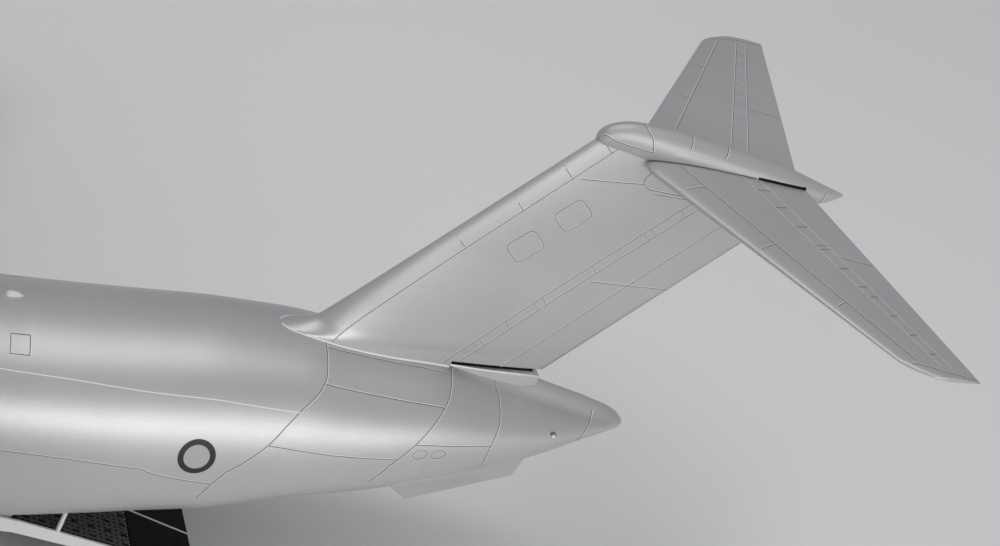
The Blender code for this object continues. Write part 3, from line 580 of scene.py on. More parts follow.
def make_fuselage():
    skin = lofted("fuselage_skin", [hull_ring(row, 120) for row in HULL_ROWS], HULL)
    stations = [HOLLOW_START + HOLLOW_LENGTH * i / 30 for i in range(31)]
    cavity = lofted("cavity", [hull_ring(hull_row(x), 56, -WALL) for x in stations], INTERIOR)
    well = block_rings((BAY_START, -BAY_HALF_WIDTH, 0), (BAY_END, BAY_HALF_WIDTH, BAY_TOP))
    cutters = (cavity, belly_cutter(), window_band(SEAT_GAP), lofted("well", well, HULL))
    carve(skin, *(("DIFFERENCE", cutter) for cutter in cutters))
    clad(skin, "fuselage_half_port", "fuselage_half_starboard")
    make_windows(cavity)
    discard(*cutters)
    make_hull_lines()
    make_hold()


def post_rings(x, y, turn, lean, side):
    """A slab that crosses the skin, as wide as a post."""
    out = Vector((-cos(radians(turn)), side * sin(radians(turn)), 0))
    across = Vector((-out.y, out.x, 0)) * POST_HALF_WIDTH
    rings = []
    for z, shift in ((5.0, 0.0), (6.7, lean)):
        core = Vector((x + 0.9 * shift, side * (y - 0.35 * shift), z))
        rings.append([core + out * a + across * b for a, b in ((1.5, -1), (1.5, 1), (-2.0, 1), (-2.0, -1))])
    return rings


def make_windows(cavity):
    glass = lofted("windscreen_panes", [hull_ring(row, 120, PANE_INSET) for row in HULL_ROWS[:80]], GLASS)
    band = window_band(0, GLASS)
    carve(glass, ("DIFFERENCE", cavity), ("INTERSECT", band))
    ride(glass, "cockpit_glazing", slot="clear")
    inner = lofted("post_inner", [hull_ring(row, 96, POST_INSIDE) for row in HULL_ROWS[:80]], HULL)
    wide = window_band(0.05)
    posts = bmesh.new()
    for side, _ in SIDES:
        for row in POSTS if side < 0 else POSTS[1:]:
            slab = lofted("slab", post_rings(*row, side), HULL)
            post = lofted("post", [hull_ring(row, 96, POST_PROUD) for row in HULL_ROWS[2:64]], HULL)
            carve(post, ("INTERSECT", wide), ("INTERSECT", slab), ("DIFFERENCE", inner))
            posts.from_mesh(post.data)
            discard(slab, post)
    clad(from_shape("windscreen_posts", posts, HULL))
    discard(band, inner, wide)


def back(side):
    """The fuselage's skin as a surface over (x, degrees from the top down that side)."""
    return lambda x, angle: hull_point(x, 90 - side * angle)


# Lines on the rear fuselage as (x, degrees from the top): three frames that lean forward as they go down, the long
# joints between them, and the tail cone's cap
REAR_FRAMES = (
    ((37.33, 7), (37.33, 20), (37.3, 34), (37.08, 44), (36.81, 50), (36.5, 56), (36.08, 65), (35.69, 74), (34.98, 85),
     (34.3, 94), (34.0, 106)),
    ((41.72, 7), (41.6, 22), (41.5, 35), (41.25, 49), (40.92, 61), (40.48, 74), (40.06, 84), (39.7, 92), (39.3, 104)),
    ((43.27, 8), (43.36, 30), (43.35, 50), (43.25, 65), (43.14, 77), (43.08, 92), (43.05, 108)),
    ((46.95, 20), (46.88, 40), (46.77, 58), (46.6, 85), (46.49, 108)),
)
# A joint drawn as a light line all along: painted highlight where it catches the light
HIGHLIGHT_JOINT = ((27.3, 45), (29.57, 47), (31.82, 50), (34.12, 52), (36.5, 56))
LONG_JOINTS = (
    ((18.6, 84), (27.76, 87), (29.85, 88), (32.07, 90), (34.3, 94)),
    ((37.31, 15), (39.44, 16), (41.6, 17)),
    ((37.26, 39), (39.24, 42), (41.32, 46)),
    ((35.69, 74), (37.72, 80), (39.98, 85)),
    ((40.48, 74), (41.78, 76), (43.14, 77)),
)
# On the front and middle fuselage: frames all round, frames beside the sponsons, and joints as (x, x, degrees)
FRONT_FRAMES = (1.55, 5.6, 9.4, 13.2)
SIDE_FRAMES = (17.0, 21.4, 25.3)
FRONT_JOINTS = ((5.6, 12.6, 42), (1.7, 17.3, 118), (9.4, 16.6, 78))
# Hatches on the flank: x and height of the middle, half lengths
SIDE_HATCHES = (((7.2, 3.2), (0.42, 0.85)), ((10.6, 3.6), (0.45, 0.8)), ((15.2, 3.4), (0.42, 0.8)))
# Two oval covers and the tail lamp low on the tail cone, as (x, degrees from the top)
OVALS = ((40.71, 82), (41.34, 83))
TAIL_LAMP = (45.4, 71)
ROOF_HATCH = ((27.62, 26), (28.2, 37))
RING_PLACE = (33.58, 81)
RING_SIZES = (0.58, 0.40)
BLISTER_X = 27.75
# Aerials on the roof, and probes beside the nose as (x, z)
BLADE_AERIALS, DOME_AERIALS = (8.6, 11.4), (7.3, 9.9)
PROBES = ((2.05, 3.05), (2.05, 3.45), (2.5, 3.9))
# Ribs in the hold: first station, pitch, number, width and reach; their lowest height, how far they end above the
# skin's lowest point, and how high beside the ramp's struts
RIB_START, RIB_PITCH, RIB_COUNT, RIB_WIDTH, RIB_REACH = 10.0, 0.95, 33, 0.12, (-0.16, -0.30)
RIB_LOWEST, RIB_ABOVE, STRUT_START, STRUT_END, STRUT_TOP = 1.75, 1.3, 28, 34, 4.3
FLOOR_TRACKS, TRACK_START, TRACK_END = (-1.9, -1.14, -0.38, 0.38, 1.14, 1.9), (9.5, 1.6), (28.6, 1.66)


def make_hull_lines():
    lines = Grooves("fuselage_lines", hull_out)
    for x in FRONT_FRAMES:
        lines.line([(x, -70), (x, 250)], hull_point, step=3.0)
    # Lines drawn wholly light, as painted highlight
    highlights = Grooves("fuselage_highlight_lines", hull_out, LINE_HIGHLIGHT)
    for side, _ in SIDES:
        skin = back(side)
        highlights.line(HIGHLIGHT_JOINT, skin, 1.3, step=0.25, lit=False)
        for x in SIDE_FRAMES:
            lines.line([(x, 68), (x, 132)], skin, step=3.0)
        for line in REAR_FRAMES:
            lines.line(smooth_table(line, 4), skin, step=0.7)
        for line in LONG_JOINTS:
            lines.line(line, skin, step=0.25)
        for x0, x1, angle in FRONT_JOINTS:
            lines.line([(x0, angle), (x1, angle)], skin)
        (x0, a0), (x1, a1) = ROOF_HATCH
        lines.line([(x0, a0), (x1, a0), (x1, a1), (x0, a1)], skin, closed=True, step=0.3)
        for x, angle in OVALS:
            ring = [(x + 0.26 * cos(t), angle + 4.0 * sin(t)) for t in turns(24)]
            lines.line(ring, skin, 0.8, closed=True, step=0.5)
        for centre, size in SIDE_HATCHES:
            lines.loop(centre, size, partial(hull_side, side=side))
    lines.done()
    highlights.done()
    make_ring_markings()
    make_small_fittings()


def make_ring_markings():
    """A plain dark ring round a plain light disc on each flank."""
    shape = bmesh.new()
    outer, inner = RING_SIZES
    for side, _ in SIDES:
        x0, _, z0 = back(side)(*RING_PLACE)
        for index, (radius, reach, lift) in enumerate(((outer, inner, 0.006), (inner, 0.0, 0.005))):
            rings = []
            for share in (1.0, 0.75, 0.5, 0.25, 0.0):
                r = reach + (radius - reach) * share
                rings.append([shape.verts.new(place(*hull_side(x0 + r * cos(t), z0 + r * sin(t), side, lift)))
                              for t in turns(72)])
            for first, second in zip(rings, rings[1:]):
                for face in join_rings(shape, first, second):
                    face.material_index = index
    detail("ring_markings", shape, MARKING, MARK_LIGHT)


def teardrop(shape, x, length, half, height, sink=0.03):
    """A low fairing on the roof, blunt in front and pointed aft."""
    z = hull_point(x, 90)[2]
    rings = []
    for share, size in smooth_table(((0.0, 0.02), (0.04, 0.55), (0.25, 1.0), (0.6, 0.8), (1.0, 0.02)), 4):
        rings.append([(x + length * (share - 0.4), half * size * cos(a), z - sink + (height + sink) * size * sin(a))
                      for a in turns(24)[:13]])
    loft(shape, rings)


def make_small_fittings():
    """The roof's blister and aerials, the tail lamps, and the probes beside the nose."""
    white, grey, dark = bmesh.new(), bmesh.new(), bmesh.new()
    teardrop(white, BLISTER_X, 0.62, 0.13, 0.14)
    for x in DOME_AERIALS:
        teardrop(grey, x, 0.9, 0.12, 0.16)
    for x in BLADE_AERIALS:
        z = hull_point(x, 90)[2]
        loft(grey, [[(x + a + 0.25 * k, b * (1 - 0.5 * k), z - 0.03 + 0.42 * k)
                     for a, b in ((-0.2, 0.0), (0.0, 0.035), (0.2, 0.0), (0.0, -0.035))] for k in (0, 1)])
    for side, _ in SIDES:
        x, y, z = back(side)(*TAIL_LAMP)
        for shape, centre, profile in (
            (dark, (x, y - side * 0.05, z), ((0.0, 0.0), (0.0, 0.13), (0.05, 0.13), (0.07, 0.0))),
            (white, (x + 0.03, y, z), ((0.0, 0.0), (0.0, 0.075), (0.05, 0.06), (0.08, 0.0))),
        ):
            spin(shape, centre, "Y", [(side * a, r) for a, r in profile], 20)
        for spot in PROBES:
            root = Vector(hull_side(*spot, side))
            tip = root + Vector((-0.04, side * 0.16, 0))
            rod(grey, root - Vector((0, side * 0.05, 0)), tip, 0.028, steps=8)
            rod(grey, tip, tip + Vector((-0.24, 0, 0)), 0.022, steps=8)
    detail("roof_blister_and_lamps", white, WHITE)
    detail("aerials_and_probes", grey, HULL)
    detail("lamp_bezels", dark, LINE_DARK)


def rib_ring(x, angle):
    (near, far), aft = RIB_REACH, x + RIB_WIDTH
    return [hull_point(u, angle, grow) for u, grow in ((x, near), (aft, near), (aft, far), (x, far))]


def make_hold():
    """Ribs inside the hold, cut back beside the ramp's struts, and the tracks on its floor."""
    ribs, tracks = bmesh.new(), bmesh.new()
    for i in range(RIB_COUNT):
        x = RIB_START + RIB_PITCH * i
        lowest = max(STRUT_TOP if STRUT_START < x < STRUT_END else RIB_LOWEST, hull_row(x)[2] + RIB_ABOVE)
        for angle in range(-30, 210, 6):
            rings = [rib_ring(x, angle), rib_ring(x, angle + 6)]
            if min(ring[2][2] for ring in rings) > lowest:
                loft(ribs, rings)
    detail("hold_ribs", ribs, INTERIOR)
    (x0, low), (x1, high) = TRACK_START, TRACK_END
    for y in FLOOR_TRACKS:
        loft(tracks, block_rings((x0, y - 0.05, low), (x1, y + 0.05, high)))
    detail("floor_tracks", tracks, METAL)


# Ramp and door

# Tread: pitch of its cells, of three bars each, and a bar's length, width and height
TREAD_PITCH, TREAD_BAR, BAR_SPACING = 0.187, (0.17, 0.034, 0.026), (-0.055, 0.0, 0.055)
# Tie-down pits: their places along and across the ramp, and the corners of one
PITS_ALONG, PITS_ACROSS = [0.35 + 0.562 * i for i in range(7)], [0.47 * (j - 5.5) for j in range(12)]
PIT_CORNERS = ((-0.11, -0.02), (0.07, -0.06), (0.11, 0.02), (-0.07, 0.06))
STRIPES, FRINGE_WIDTH, FRINGE_TEETH = (-0.68, 0.62), 5.44, 36
# White edges: place along the ramp, depth, and how far out they stand there
EDGE_STATIONS = ((-0.6, 0.44, 0.11), (0.1, 0.41, 0.0), (TREAD_END - 0.02, 0.26, 0.0))
# Strut sleeves: foot along the ramp, radius, and their lower and upper ends from there, for the starboard side
STRUT_FOOT, SLEEVE_RADIUS, SLEEVE = 1.38, 0.07, ((-0.03, 0.04, -0.27), (0.19, -0.03, 1.42))


def ramp_point(along, across, rise):
    """A point on the lowered ramp, from its hinge; beyond the deck it lies on the steeper toes."""
    deck = min(along, TREAD_END)
    x = RAMP_HINGE_X + deck * cos(RAMP_OPEN)
    z = FLOOR_TOP - deck * sin(RAMP_OPEN)
    tilt = RAMP_OPEN if along <= TREAD_END else TOE_SLOPE
    beyond = along - deck
    return (x + beyond * cos(tilt) + rise * sin(tilt), across,
            z - beyond * sin(tilt) + rise * cos(tilt))


def ramp_block(shape, low, high):
    loft(shape, [[ramp_point(*point) for point in ring] for ring in block_rings(low, high)])


def tread_bar(shape, s, y, turn):
    """One raised bar of the tread, with sloped sides."""
    length, width, height = TREAD_BAR
    c, d = length * cos(turn) / 2, length * sin(turn) / 2
    w, v = width * cos(turn) / 2, width * sin(turn) / 2
    corners = [(s - c + v, y - d - w), (s + c + v, y + d - w), (s + c - v, y + d + w), (s - c - v, y - d + w)]
    base = [shape.verts.new(place(*ramp_point(p, q, 0.0))) for p, q in corners]
    top = [shape.verts.new(place(*ramp_point(s + (p - s) * 0.85, y + (q - y) * 0.7, height))) for p, q in corners]
    shape.faces.new(top)
    join_rings(shape, base, top)


def make_tread():
    bars, pits = bmesh.new(), bmesh.new()
    across = 2 * (RAMP_HALF_WIDTH - RAIL_WIDTH) - 0.1
    for i in range(int((TREAD_END - 0.1) / TREAD_PITCH)):
        for j in range(int(across / TREAD_PITCH)):
            s, y = 0.08 + TREAD_PITCH * (i + 0.5), -across / 2 + TREAD_PITCH * (j + 0.5)
            turn = radians(52 if (i + j) % 2 else -38)
            for shift in BAR_SPACING:
                tread_bar(bars, s - shift * sin(turn), y + shift * cos(turn), turn)
    detail("ramp_tread", bars, TREAD, body="ramp")
    for s in PITS_ALONG:
        for y in PITS_ACROSS:
            loft(pits, [[ramp_point(s + a, y + b, h) for a, b in PIT_CORNERS] for h in (0.024, 0.031)])
    detail("ramp_tie_downs", pits, BLACK, body="ramp")


def make_toes():
    """The lip and white stripes of the smooth black toes, and the fringe at their joint with the deck."""
    stripes, lip, fringe = bmesh.new(), bmesh.new(), bmesh.new()
    foot, half = TREAD_END + TOE_LENGTH, RAMP_HALF_WIDTH - 0.08
    ramp_block(lip, (foot - 0.3, -half, -0.03), (foot + 0.2, half, 0.004))
    detail("toe_lip", lip, BLACK, body="ramp")
    for y in STRIPES:
        ramp_block(stripes, (TREAD_END + 0.1, y - 0.035, 0.0), (foot + 0.2, y + 0.035, 0.012))
    detail("ramp_stripes", stripes, WHITE, body="ramp")
    for j in range(FRINGE_TEETH):
        y = -FRINGE_WIDTH / 2 + FRINGE_WIDTH * (j + 0.5) / FRINGE_TEETH
        ramp_block(fringe, (TREAD_END - 0.06, y - 0.03, 0.0), (TREAD_END - 0.01, y + 0.03, 0.03 if j % 2 else 0.02))
    detail("ramp_joint", fringe, METAL, body="ramp")


def make_ramp_edges():
    """The ramp's white edges, and the wide sleeves of its struts."""
    rails = bmesh.new()
    outer, inner = RAMP_HALF_WIDTH + 0.02, RAMP_HALF_WIDTH - 0.06
    for side, _ in SIDES:
        loft(rails, [[
            ramp_point(s, side * (y + out), z) for y, z in
            ((inner, 0.0), (inner, 0.05), (outer, 0.05), (outer, -deep), (outer - 0.04, -deep))
        ] for s, deep, out in EDGE_STATIONS])
        foot = Vector(ramp_point(STRUT_FOOT, side * (RAMP_HALF_WIDTH - 0.09), 0.03))
        rod(rails, *(foot + Vector((a, side * b, c)) for a, b, c in SLEEVE), SLEEVE_RADIUS)
    detail("ramp_edges", rails, WHITE, body="ramp")


# Wing

# Flap tracks' fairings: places on the span, length and how it shrinks outwards, the share ahead of the trailing edge,
# how low they hang, half width and height, and their form as (share of the length, share of the size)
FLAP_FAIRINGS = (5.2, 9.4, 13.6, 17.6)
FAIRING_LENGTH, FAIRING_SHORTER, FAIRING_AHEAD, FAIRING_DROP, FAIRING_HALF = 4.4, 0.09, 0.88, 0.32, (0.26, 0.40)
FLAP_FAIRING = smooth_table(((0.0, 0.03), (0.04, 0.34), (0.18, 0.72), (0.45, 1.0), (0.75, 0.72), (0.97, 0.2),
                             (1.0, 0.04)), 5)
WINGLET = smooth_table(((0.0, -0.25), (0.0, 0.06), (0.2, 0.35), (0.6, 1.5), (0.94, 2.45), (1.0, 2.6)), 4)
# Its thickness, its chord against the wing tip's, where it starts, and how it sweeps, narrows and leans to its tip
WINGLET_THICK, WINGLET_SHORTER, WINGLET_START = 0.045, 0.5, 0.35
WINGLET_SWEEP, WINGLET_TAPER, WINGLET_LEAN = 2.05, 0.52, 0.62
# Lines along the span as (share of the chord, y, y), and across it as (share, share, places on the span)
WING_LINES = ((0.13, 3.3, 24.6), (0.62, 3.3, 24.6), (0.74, 3.3, 16.6), (0.76, 17.0, 24.0))
WING_JOINTS = (
    (0.0, 0.13, (3.3, 6.2, 9.9, 12.4, 15.0, 19.0, 22.0, 24.6)), (0.13, 0.62, (8.2, 13.0, 17.0, 21.0, 24.6)),
    (0.62, 1.0, (3.4, 7.0, 10.4, 13.6, 16.8, 20.4, 24.0)),
)
# The fairing over the wing's root: x, top, half width, down to these two heights
WING_FAIRING = smooth_table((
    (12.7, 7.75, 0.3), (13.1, 7.95, 0.9), (14.4, 8.35, 1.9), (16.4, 8.78, 2.75), (20.2, 9.0, 2.75),
    (24.2, 8.72, 2.75), (26.1, 8.25, 2.6), (26.9, 7.98, 1.5), (27.4, 7.70, 0.4),
), 6)
FAIRING_EDGE_Z, FAIRING_FOOT_Z = 6.6, 6.2


def flap_fairing(shape, y, side):
    _, trail, height = wing_line(y)
    length = FAIRING_LENGTH - FAIRING_SHORTER * y
    half, high = FAIRING_HALF
    rings = []
    for share, size in FLAP_FAIRING:
        x = trail - FAIRING_AHEAD * length + share * length
        rings.append([(x, side * y + half * size * cos(a), height - FAIRING_DROP + high * size * sin(a))
                      for a in turns(24, 0.5)])
    loft(shape, rings)


def make_winglet(side, name):
    lead, trail, height = wing_line(WING_TIP_Y)
    chord = trail - lead - WINGLET_SHORTER
    rings = []
    for share, rise in WINGLET:
        start = lead + WINGLET_START + WINGLET_SWEEP * share
        size = chord * (1 - WINGLET_TAPER * share)
        y = WING_TIP_Y + SEAT_GAP + WINGLET_THICK * chord + WINGLET_LEAN * share
        rings.append(foil_ring(start, size, side * y, height - 0.1 + rise, side * WINGLET_THICK * size, 0, 21))
    skin_piece(f"winglet_skin_{name}", rings, f"winglet_{name}")


def make_wings():
    for side, name in SIDES:
        shape = loft(bmesh.new(), [wing_ring(y, side) for y in (2.3, 6.5, WING_KINK_Y, 18.0, WING_TIP_Y)])
        for y in FLAP_FAIRINGS:
            flap_fairing(shape, y, side)
        clad(from_shape(f"wing_skin_{name}", shape, HULL), f"wing_{name}")
        make_winglet(side, name)
    for up, name in ((1, "top"), (-1, "under")):
        lines = Grooves(f"wing_{name}_lines", facing(0, 0, up))
        skin = partial(wing_point, up=up)
        for side, _ in SIDES:
            for c, y0, y1 in WING_LINES:
                kink = (WING_KINK_Y,) if y0 < WING_KINK_Y < y1 else ()
                lines.line([wing_spot(c, y, side) for y in (y0, *kink, y1)], skin)
            for c0, c1, places in WING_JOINTS:
                for y in places:
                    lines.line([wing_spot(c0, y, side), wing_spot(c1, y, side)], skin)
        lines.done()


def make_wing_fairing():
    rings = []
    for x, top, half in WING_FAIRING:
        ring = [(x, half * across, FAIRING_EDGE_Z + (top - FAIRING_EDGE_Z) * (1 - 0.45 * abs(across) ** 4))
                for across in (-1 + 2 * i / 32 for i in range(33))]
        rings.append(ring + [(x, half, FAIRING_FOOT_Z), (x, -half, FAIRING_FOOT_Z)])
    skin_piece("wing_root_fairing", rings, "wing_fairing")


# Engines

# Turned profiles as (distance aft of the intake, radius)
COWL = (
    smooth_table(((0.0, 1.11), (0.02, 1.17), (0.12, 1.25), (0.7, 1.38), (1.9, 1.42), (3.2, 1.30), (4.15, 1.115)), 5)
    + smooth_table(((4.15, 1.085), (3.0, 1.12), (1.6, 1.09), (0.3, 1.05), (0.03, 1.08)), 5)
)
CORE = smooth_table(((1.75, 0.0), (1.75, 0.42), (2.4, 0.66), (3.6, 0.70), (4.9, 0.52), (5.3, 0.42), (5.3, 0.36),
                     (5.35, 0.28), (6.1, 0.0)), 3)
HUB = smooth_table(((0.72, 0.0), (0.76, 0.08), (0.9, 0.2), (1.15, 0.31), (1.55, 0.34)), 4)
HUB += [(1.62, 0.34), (1.62, 0.0)]
# Blades: number, how far round the first one is, ends along the axis, inner and outer radius, half thickness, twist
CORE_VANES = (6, 0.5, (2.3, 3.1), (0.5, 1.07), 0.03, 0.0)
FAN_BLADES = (24, 0.0, (1.16, 1.52), (0.30, 1.02), 0.016, 0.85)


def make_engines():
    for number, (y, front, height) in ENGINES.items():
        centre = (front, y, height)
        cowl = spin(bmesh.new(), centre, "X", COWL, 72)
        clad(from_shape(f"nacelle_{number}", cowl, HULL), f"engine_{number}_cowl")
        core = add_blades(spin(bmesh.new(), centre, "X", CORE, 48), centre, *CORE_VANES)
        ride(from_shape(f"core_{number}", core, BURNT), f"engine_{number}_core", slot="burnt_metal")
        fan = add_blades(spin(bmesh.new(), centre, "X", HUB, 32), centre, *FAN_BLADES)
        ride(from_shape(f"fan_{number}_blades", fan, METAL), f"engine_{number}_fan",
             body=f"fan_{number}", slot="bright_metal")
        make_pylon(number, centre)


def add_blades(shape, centre, count, start, ends, radii, half, twist):
    """Blades that stand out from an engine's axis; twist turns each one more towards its tip."""
    x, y, z = centre
    middle, reach = (ends[0] + ends[1]) / 2, (ends[1] - ends[0]) / 2
    for angle in turns(count, start):
        rings = []
        for k in range(4):
            r = radii[0] + (radii[1] - radii[0]) * k / 3
            turn = twist * (0.55 + 0.45 * k / 3)
            corners = [(a * cos(turn) - b * sin(turn), a * sin(turn) + b * cos(turn))
                       for a, b in ((-reach, 0), (0, half), (reach, 0), (0, -half))]
            rings.append([(x + middle + a, y + r * sin(angle) + b * cos(angle), z + r * cos(angle) - b * sin(angle))
                          for a, b in corners])
        loft(shape, rings)
    return shape


def make_pylon(number, centre):
    front, y, height = centre
    lead, _, wing_z = wing_line(abs(y))
    rings = [foil_ring(start, end - start, y, z, half, 0, 21) for z, start, end, half in (
        (height + 1.0, front + 1.6, front + 4.6, 0.16), (height + 1.5, front + 1.5, lead + 2.6, 0.17),
        (wing_z + 0.05, lead - 0.25, lead + 3.4, 0.17),
    )]
    skin_piece(f"pylon_skin_{number}", rings, f"pylon_{number}")


# Fin

# Heights of the fin's rings, close together where it swells; the last two slope, as (front, rear)
FIN_LEVELS = [(z, z) for z in (
    6.9, 7.68, 7.9, *(8.0 + 0.036 * i for i in range(16)), 8.62, 8.72, 8.82, 8.92,
    *(9.0 + 0.15 * i for i in range(19)), 12.5,
)] + [(15.1, 14.9), (16.05, 15.25)]
# The fin is cut off along this line of (x, z), over the rudder's base
RUDDER_FOOT = ((41.6, 7.69), (46.0, 7.45))
# The bead along the fin's foot, painted bright as a highlight: first station, pitch and number, and its corners from
# the joint
BEAD_START, BEAD_PITCH, BEAD_COUNT = 35.95, 0.14, 41
BEAD = ((-0.03, 0.03), (0.01, 0.025), (0.035, -0.02), (-0.03, -0.04))
SLOT_STATIONS = (41.68, 42.4, 43.2, 44.0, 44.55)
# The low fairing under the rudder: x, half width, lowest and highest point
RUDDER_BASE = ((41.63, 0.42, 6.3, 7.53), (42.4, 0.42, 6.45, 7.50), (43.2, 0.39, 6.6, 7.47), (44.0, 0.34, 6.85, 7.45),
               (44.62, 0.29, 7.0, 7.43), (44.74, 0.27, 7.02, 7.41), (44.78, 0.2, 7.08, 7.36))
# Lines on the fin as (x, z): along the leading edge, its joints, the plate at the tailplane's root, the rudder's two
# hinge lines and its tab; then the pairs of heights between which a rib joins the hinge lines
FIN_LINES = (
    ((37.5, 7.94), (44.45, 16.05)),
    ((43.8, 16.16), (44.22, 15.8)), ((42.93, 15.05), (43.34, 14.69)), ((41.8, 13.69), (42.16, 13.35)),
    ((40.4, 12.08), (40.78, 11.76)),
    ((43.57, 14.76), (45.58, 14.95)),
    ((45.9, 15.48), (45.7, 15.36), (45.58, 15.15), (45.6, 14.95), (45.85, 14.79), (47.4, 14.7), (50.2, 14.5)),
    ((46.0, 14.67), (48.4, 14.57)),
    ((45.22, 11.18), (47.96, 11.14)),
)
RUDDER_LINES = (((41.3, 7.63), (47.5, 14.6)), ((41.85, 7.72), (47.95, 14.56)), ((43.38, 7.56), (49.2, 14.3)))
RUDDER_RIBS = ((8.52, 8.26), (8.66, 8.4), (9.41, 9.11), (10.19, 9.92), (10.43, 10.15), (11.8, 11.54), (13.22, 12.98),
               (13.42, 13.17), (14.23, 13.98))
FIN_HATCHES = (((42.6, 12.16), (0.50, 0.39), 47), ((43.75, 13.48), (0.50, 0.39), 47))


def fin_ring(front_z, rear_z):
    ring = []
    for c, t in foil(91):
        z = front_z + (rear_z - front_z) * c
        lead, trail = fin_chord(z)
        ring.append((lead + (trail - lead) * c, copysign(fin_half(z) * fin_thickness(c, z), t) if t else 0.0, z))
    return ring


def make_fin_foot():
    """A thin bead where the fin stands on the fuselage, painted bright as a painted highlight."""
    beads = bmesh.new()
    for side, _ in SIDES:
        rings = []
        for x in (BEAD_START + BEAD_PITCH * k for k in range(BEAD_COUNT)):
            y = abs(fin_point(x, hull_point(x, 84)[2], 1)[1])
            z = hull_point(x, 90 - degrees(asin(min(1.0, y / 3.2))))[2]
            rings.append([(x, side * (y + a), z + b) for a, b in BEAD])
        loft(beads, rings)
    detail("fin_foot_highlight", beads, LINE_HIGHLIGHT)


def make_rudder_base():
    """The low fairing under the rudder, blunt at its aft end."""
    rings = []
    for x, half, low, high in RUDDER_BASE:
        r = min(0.05, half * 0.5)
        corner = [(half * 0.92, low), (half, low + r), (half * 0.99, low + 2 * r), (half * 0.91, high - 1.5 * r),
                  (half * 0.9, high - r), (half * 0.9 - r * 0.3, high - r * 0.3), (half * 0.9 - r, high)]
        rings.append([(x, y, z) for y, z in corner] + [(x, -y, z) for y, z in reversed(corner)])
    skin_piece("rudder_base_skin", rings, "rudder_base_fairing")


def make_rudder_slot():
    """The shade in the gap between the rudder's foot and the low fairing under it."""
    (x0, z0), (x1, z1) = RUDDER_FOOT
    rings = []
    for x in SLOT_STATIONS:
        half = 0.8 * abs(fin_point(x, 7.62, 1)[1])
        foot = z0 + (z1 - z0) * (x - x0) / (x1 - x0)
        rings.append([(x, -half, foot - 0.3), (x, half, foot - 0.3), (x, half, foot + 0.03), (x, -half, foot + 0.03)])
    ride(lofted("rudder_slot", rings, BLACK))


def on_line(line, value):
    """The first coordinate where the straight line reaches that second one."""
    (u0, v0), (u1, v1) = line
    return u0 + (u1 - u0) * (value - v0) / (v1 - v0)


def make_fin():
    fin = lofted("fin_skin", [fin_ring(a, b) for a, b in FIN_LEVELS], HULL)
    front, rear = RUDDER_FOOT
    foot = ((front[0], 6.0), (rear[0], 6.0), rear, front)
    under = lofted("under", [[(x, y, z) for x, z in foot] for y in (-1, 1)], LINE_DARK)
    carve(fin, ("DIFFERENCE", under))
    ride(fin, "fin", slot="hull_grey")
    discard(under)
    make_fin_foot()
    make_rudder_base()
    for side, name in SIDES:
        lines = Grooves(f"fin_lines_{name}", facing(0, side, 0))
        skin = partial(fin_point, side=side)
        for line in FIN_LINES + RUDDER_LINES:
            lines.line(line, skin)
        for high, low in RUDDER_RIBS:
            lines.line([(on_line(RUDDER_LINES[0], high), high), (on_line(RUDDER_LINES[1], low), low)], skin, 0.6)
        for centre, size, turn in FIN_HATCHES:
            lines.loop(centre, size, skin, turn, 0.45)
        lines.done()


# Tailplane, and the fairing that it stands on at the top of the fin

BULLET_AXIS_Z = 15.95
# The fairing: x, lowest and highest point, half width
BULLET_ROWS = smooth_table((
    (43.66, 16.10, 16.20, 0.04), (43.72, 16.02, 16.32, 0.15), (43.85, 15.94, 16.50, 0.24), (44.2, 15.84, 16.70, 0.32),
    (44.8, 15.72, 16.82, 0.39), (45.6, 15.55, 16.81, 0.46), (46.4, 15.42, 16.76, 0.52), (48.2, 15.30, 16.50, 0.55),
    (50.1, 15.20, 16.17, 0.50), (51.5, 15.12, 15.80, 0.34), (52.1, 15.28, 15.64, 0.18), (52.45, 15.47, 15.55, 0.03),
), 6)
# Lines on the fairing as (x, degrees from the starboard side over the top), and the low swelling above the
# tailplane's root as (x, degrees of its middle, half its width in degrees, height)
BULLET_LINES = (
    ((43.79, 150), (44.1, 178), (44.49, 188), (45.4, 186)),
    ((45.02, 90), (45.1, 118), (45.3, 147), (45.42, 184)),
    ((46.68, 90), (46.63, 126), (46.58, 146)),
    ((48.0, 90), (47.89, 124), (47.82, 143)),
    ((51.8, 90), (51.7, 150), (51.64, 200), (51.62, 235)),
)
SWELLING = ((45.72, 180, 1, 0.0), (45.85, 177, 8, 0.012), (46.2, 174, 15, 0.024), (46.8, 171, 20, 0.03),
            (47.4, 170, 20, 0.026), (48.0, 170, 13, 0.016), (48.5, 167, 1, 0.0))
ROOT_SLOT = (49.1, 50.9)
TAIL_STATIONS = (0.3, 0.45, 0.6, 0.78, 0.95, 5.0, 9.2, 9.35, 9.5, 9.62, 9.75, 9.85, TAIL_SPAN)
# Lines on the tailplane as (x, distance from the centreline): behind the leading edge, its joints, the elevator's
# two hinge lines and its split, and the tip's seam; then where along the span a rib joins the hinge lines
TAIL_LINES = (
    ((46.35, 0.6), (51.15, 9.3)),
    ((46.06, 1.84), (46.93, 1.62)), ((47.72, 4.57), (48.37, 4.25)), ((49.3, 7.12), (49.79, 6.82)),
    ((50.57, 4.36), (51.7, 4.33)),
    ((50.84, 9.5), (50.98, 9.45), (51.17, 9.46), (51.5, 9.54), (51.85, 9.64), (52.4, 9.7), (53.0, 9.74)),
)
HINGE_LINES = (((48.5, 0.5), (51.93, 9.44)), ((49.15, 0.52), (52.28, 9.42)))
TAIL_RIBS = (1.25, 2.1, 3.05, 3.95, 4.12, 5.03, 5.88, 6.35, 7.22, 8.08, 8.92)


def bullet_point(x, angle, lift=0.0):
    _, low, high, half = between(BULLET_ROWS, x)
    a = radians(angle)
    return x, (half + lift) * cos(a), (low + high) / 2 + ((high - low) / 2 + lift) * sin(a)


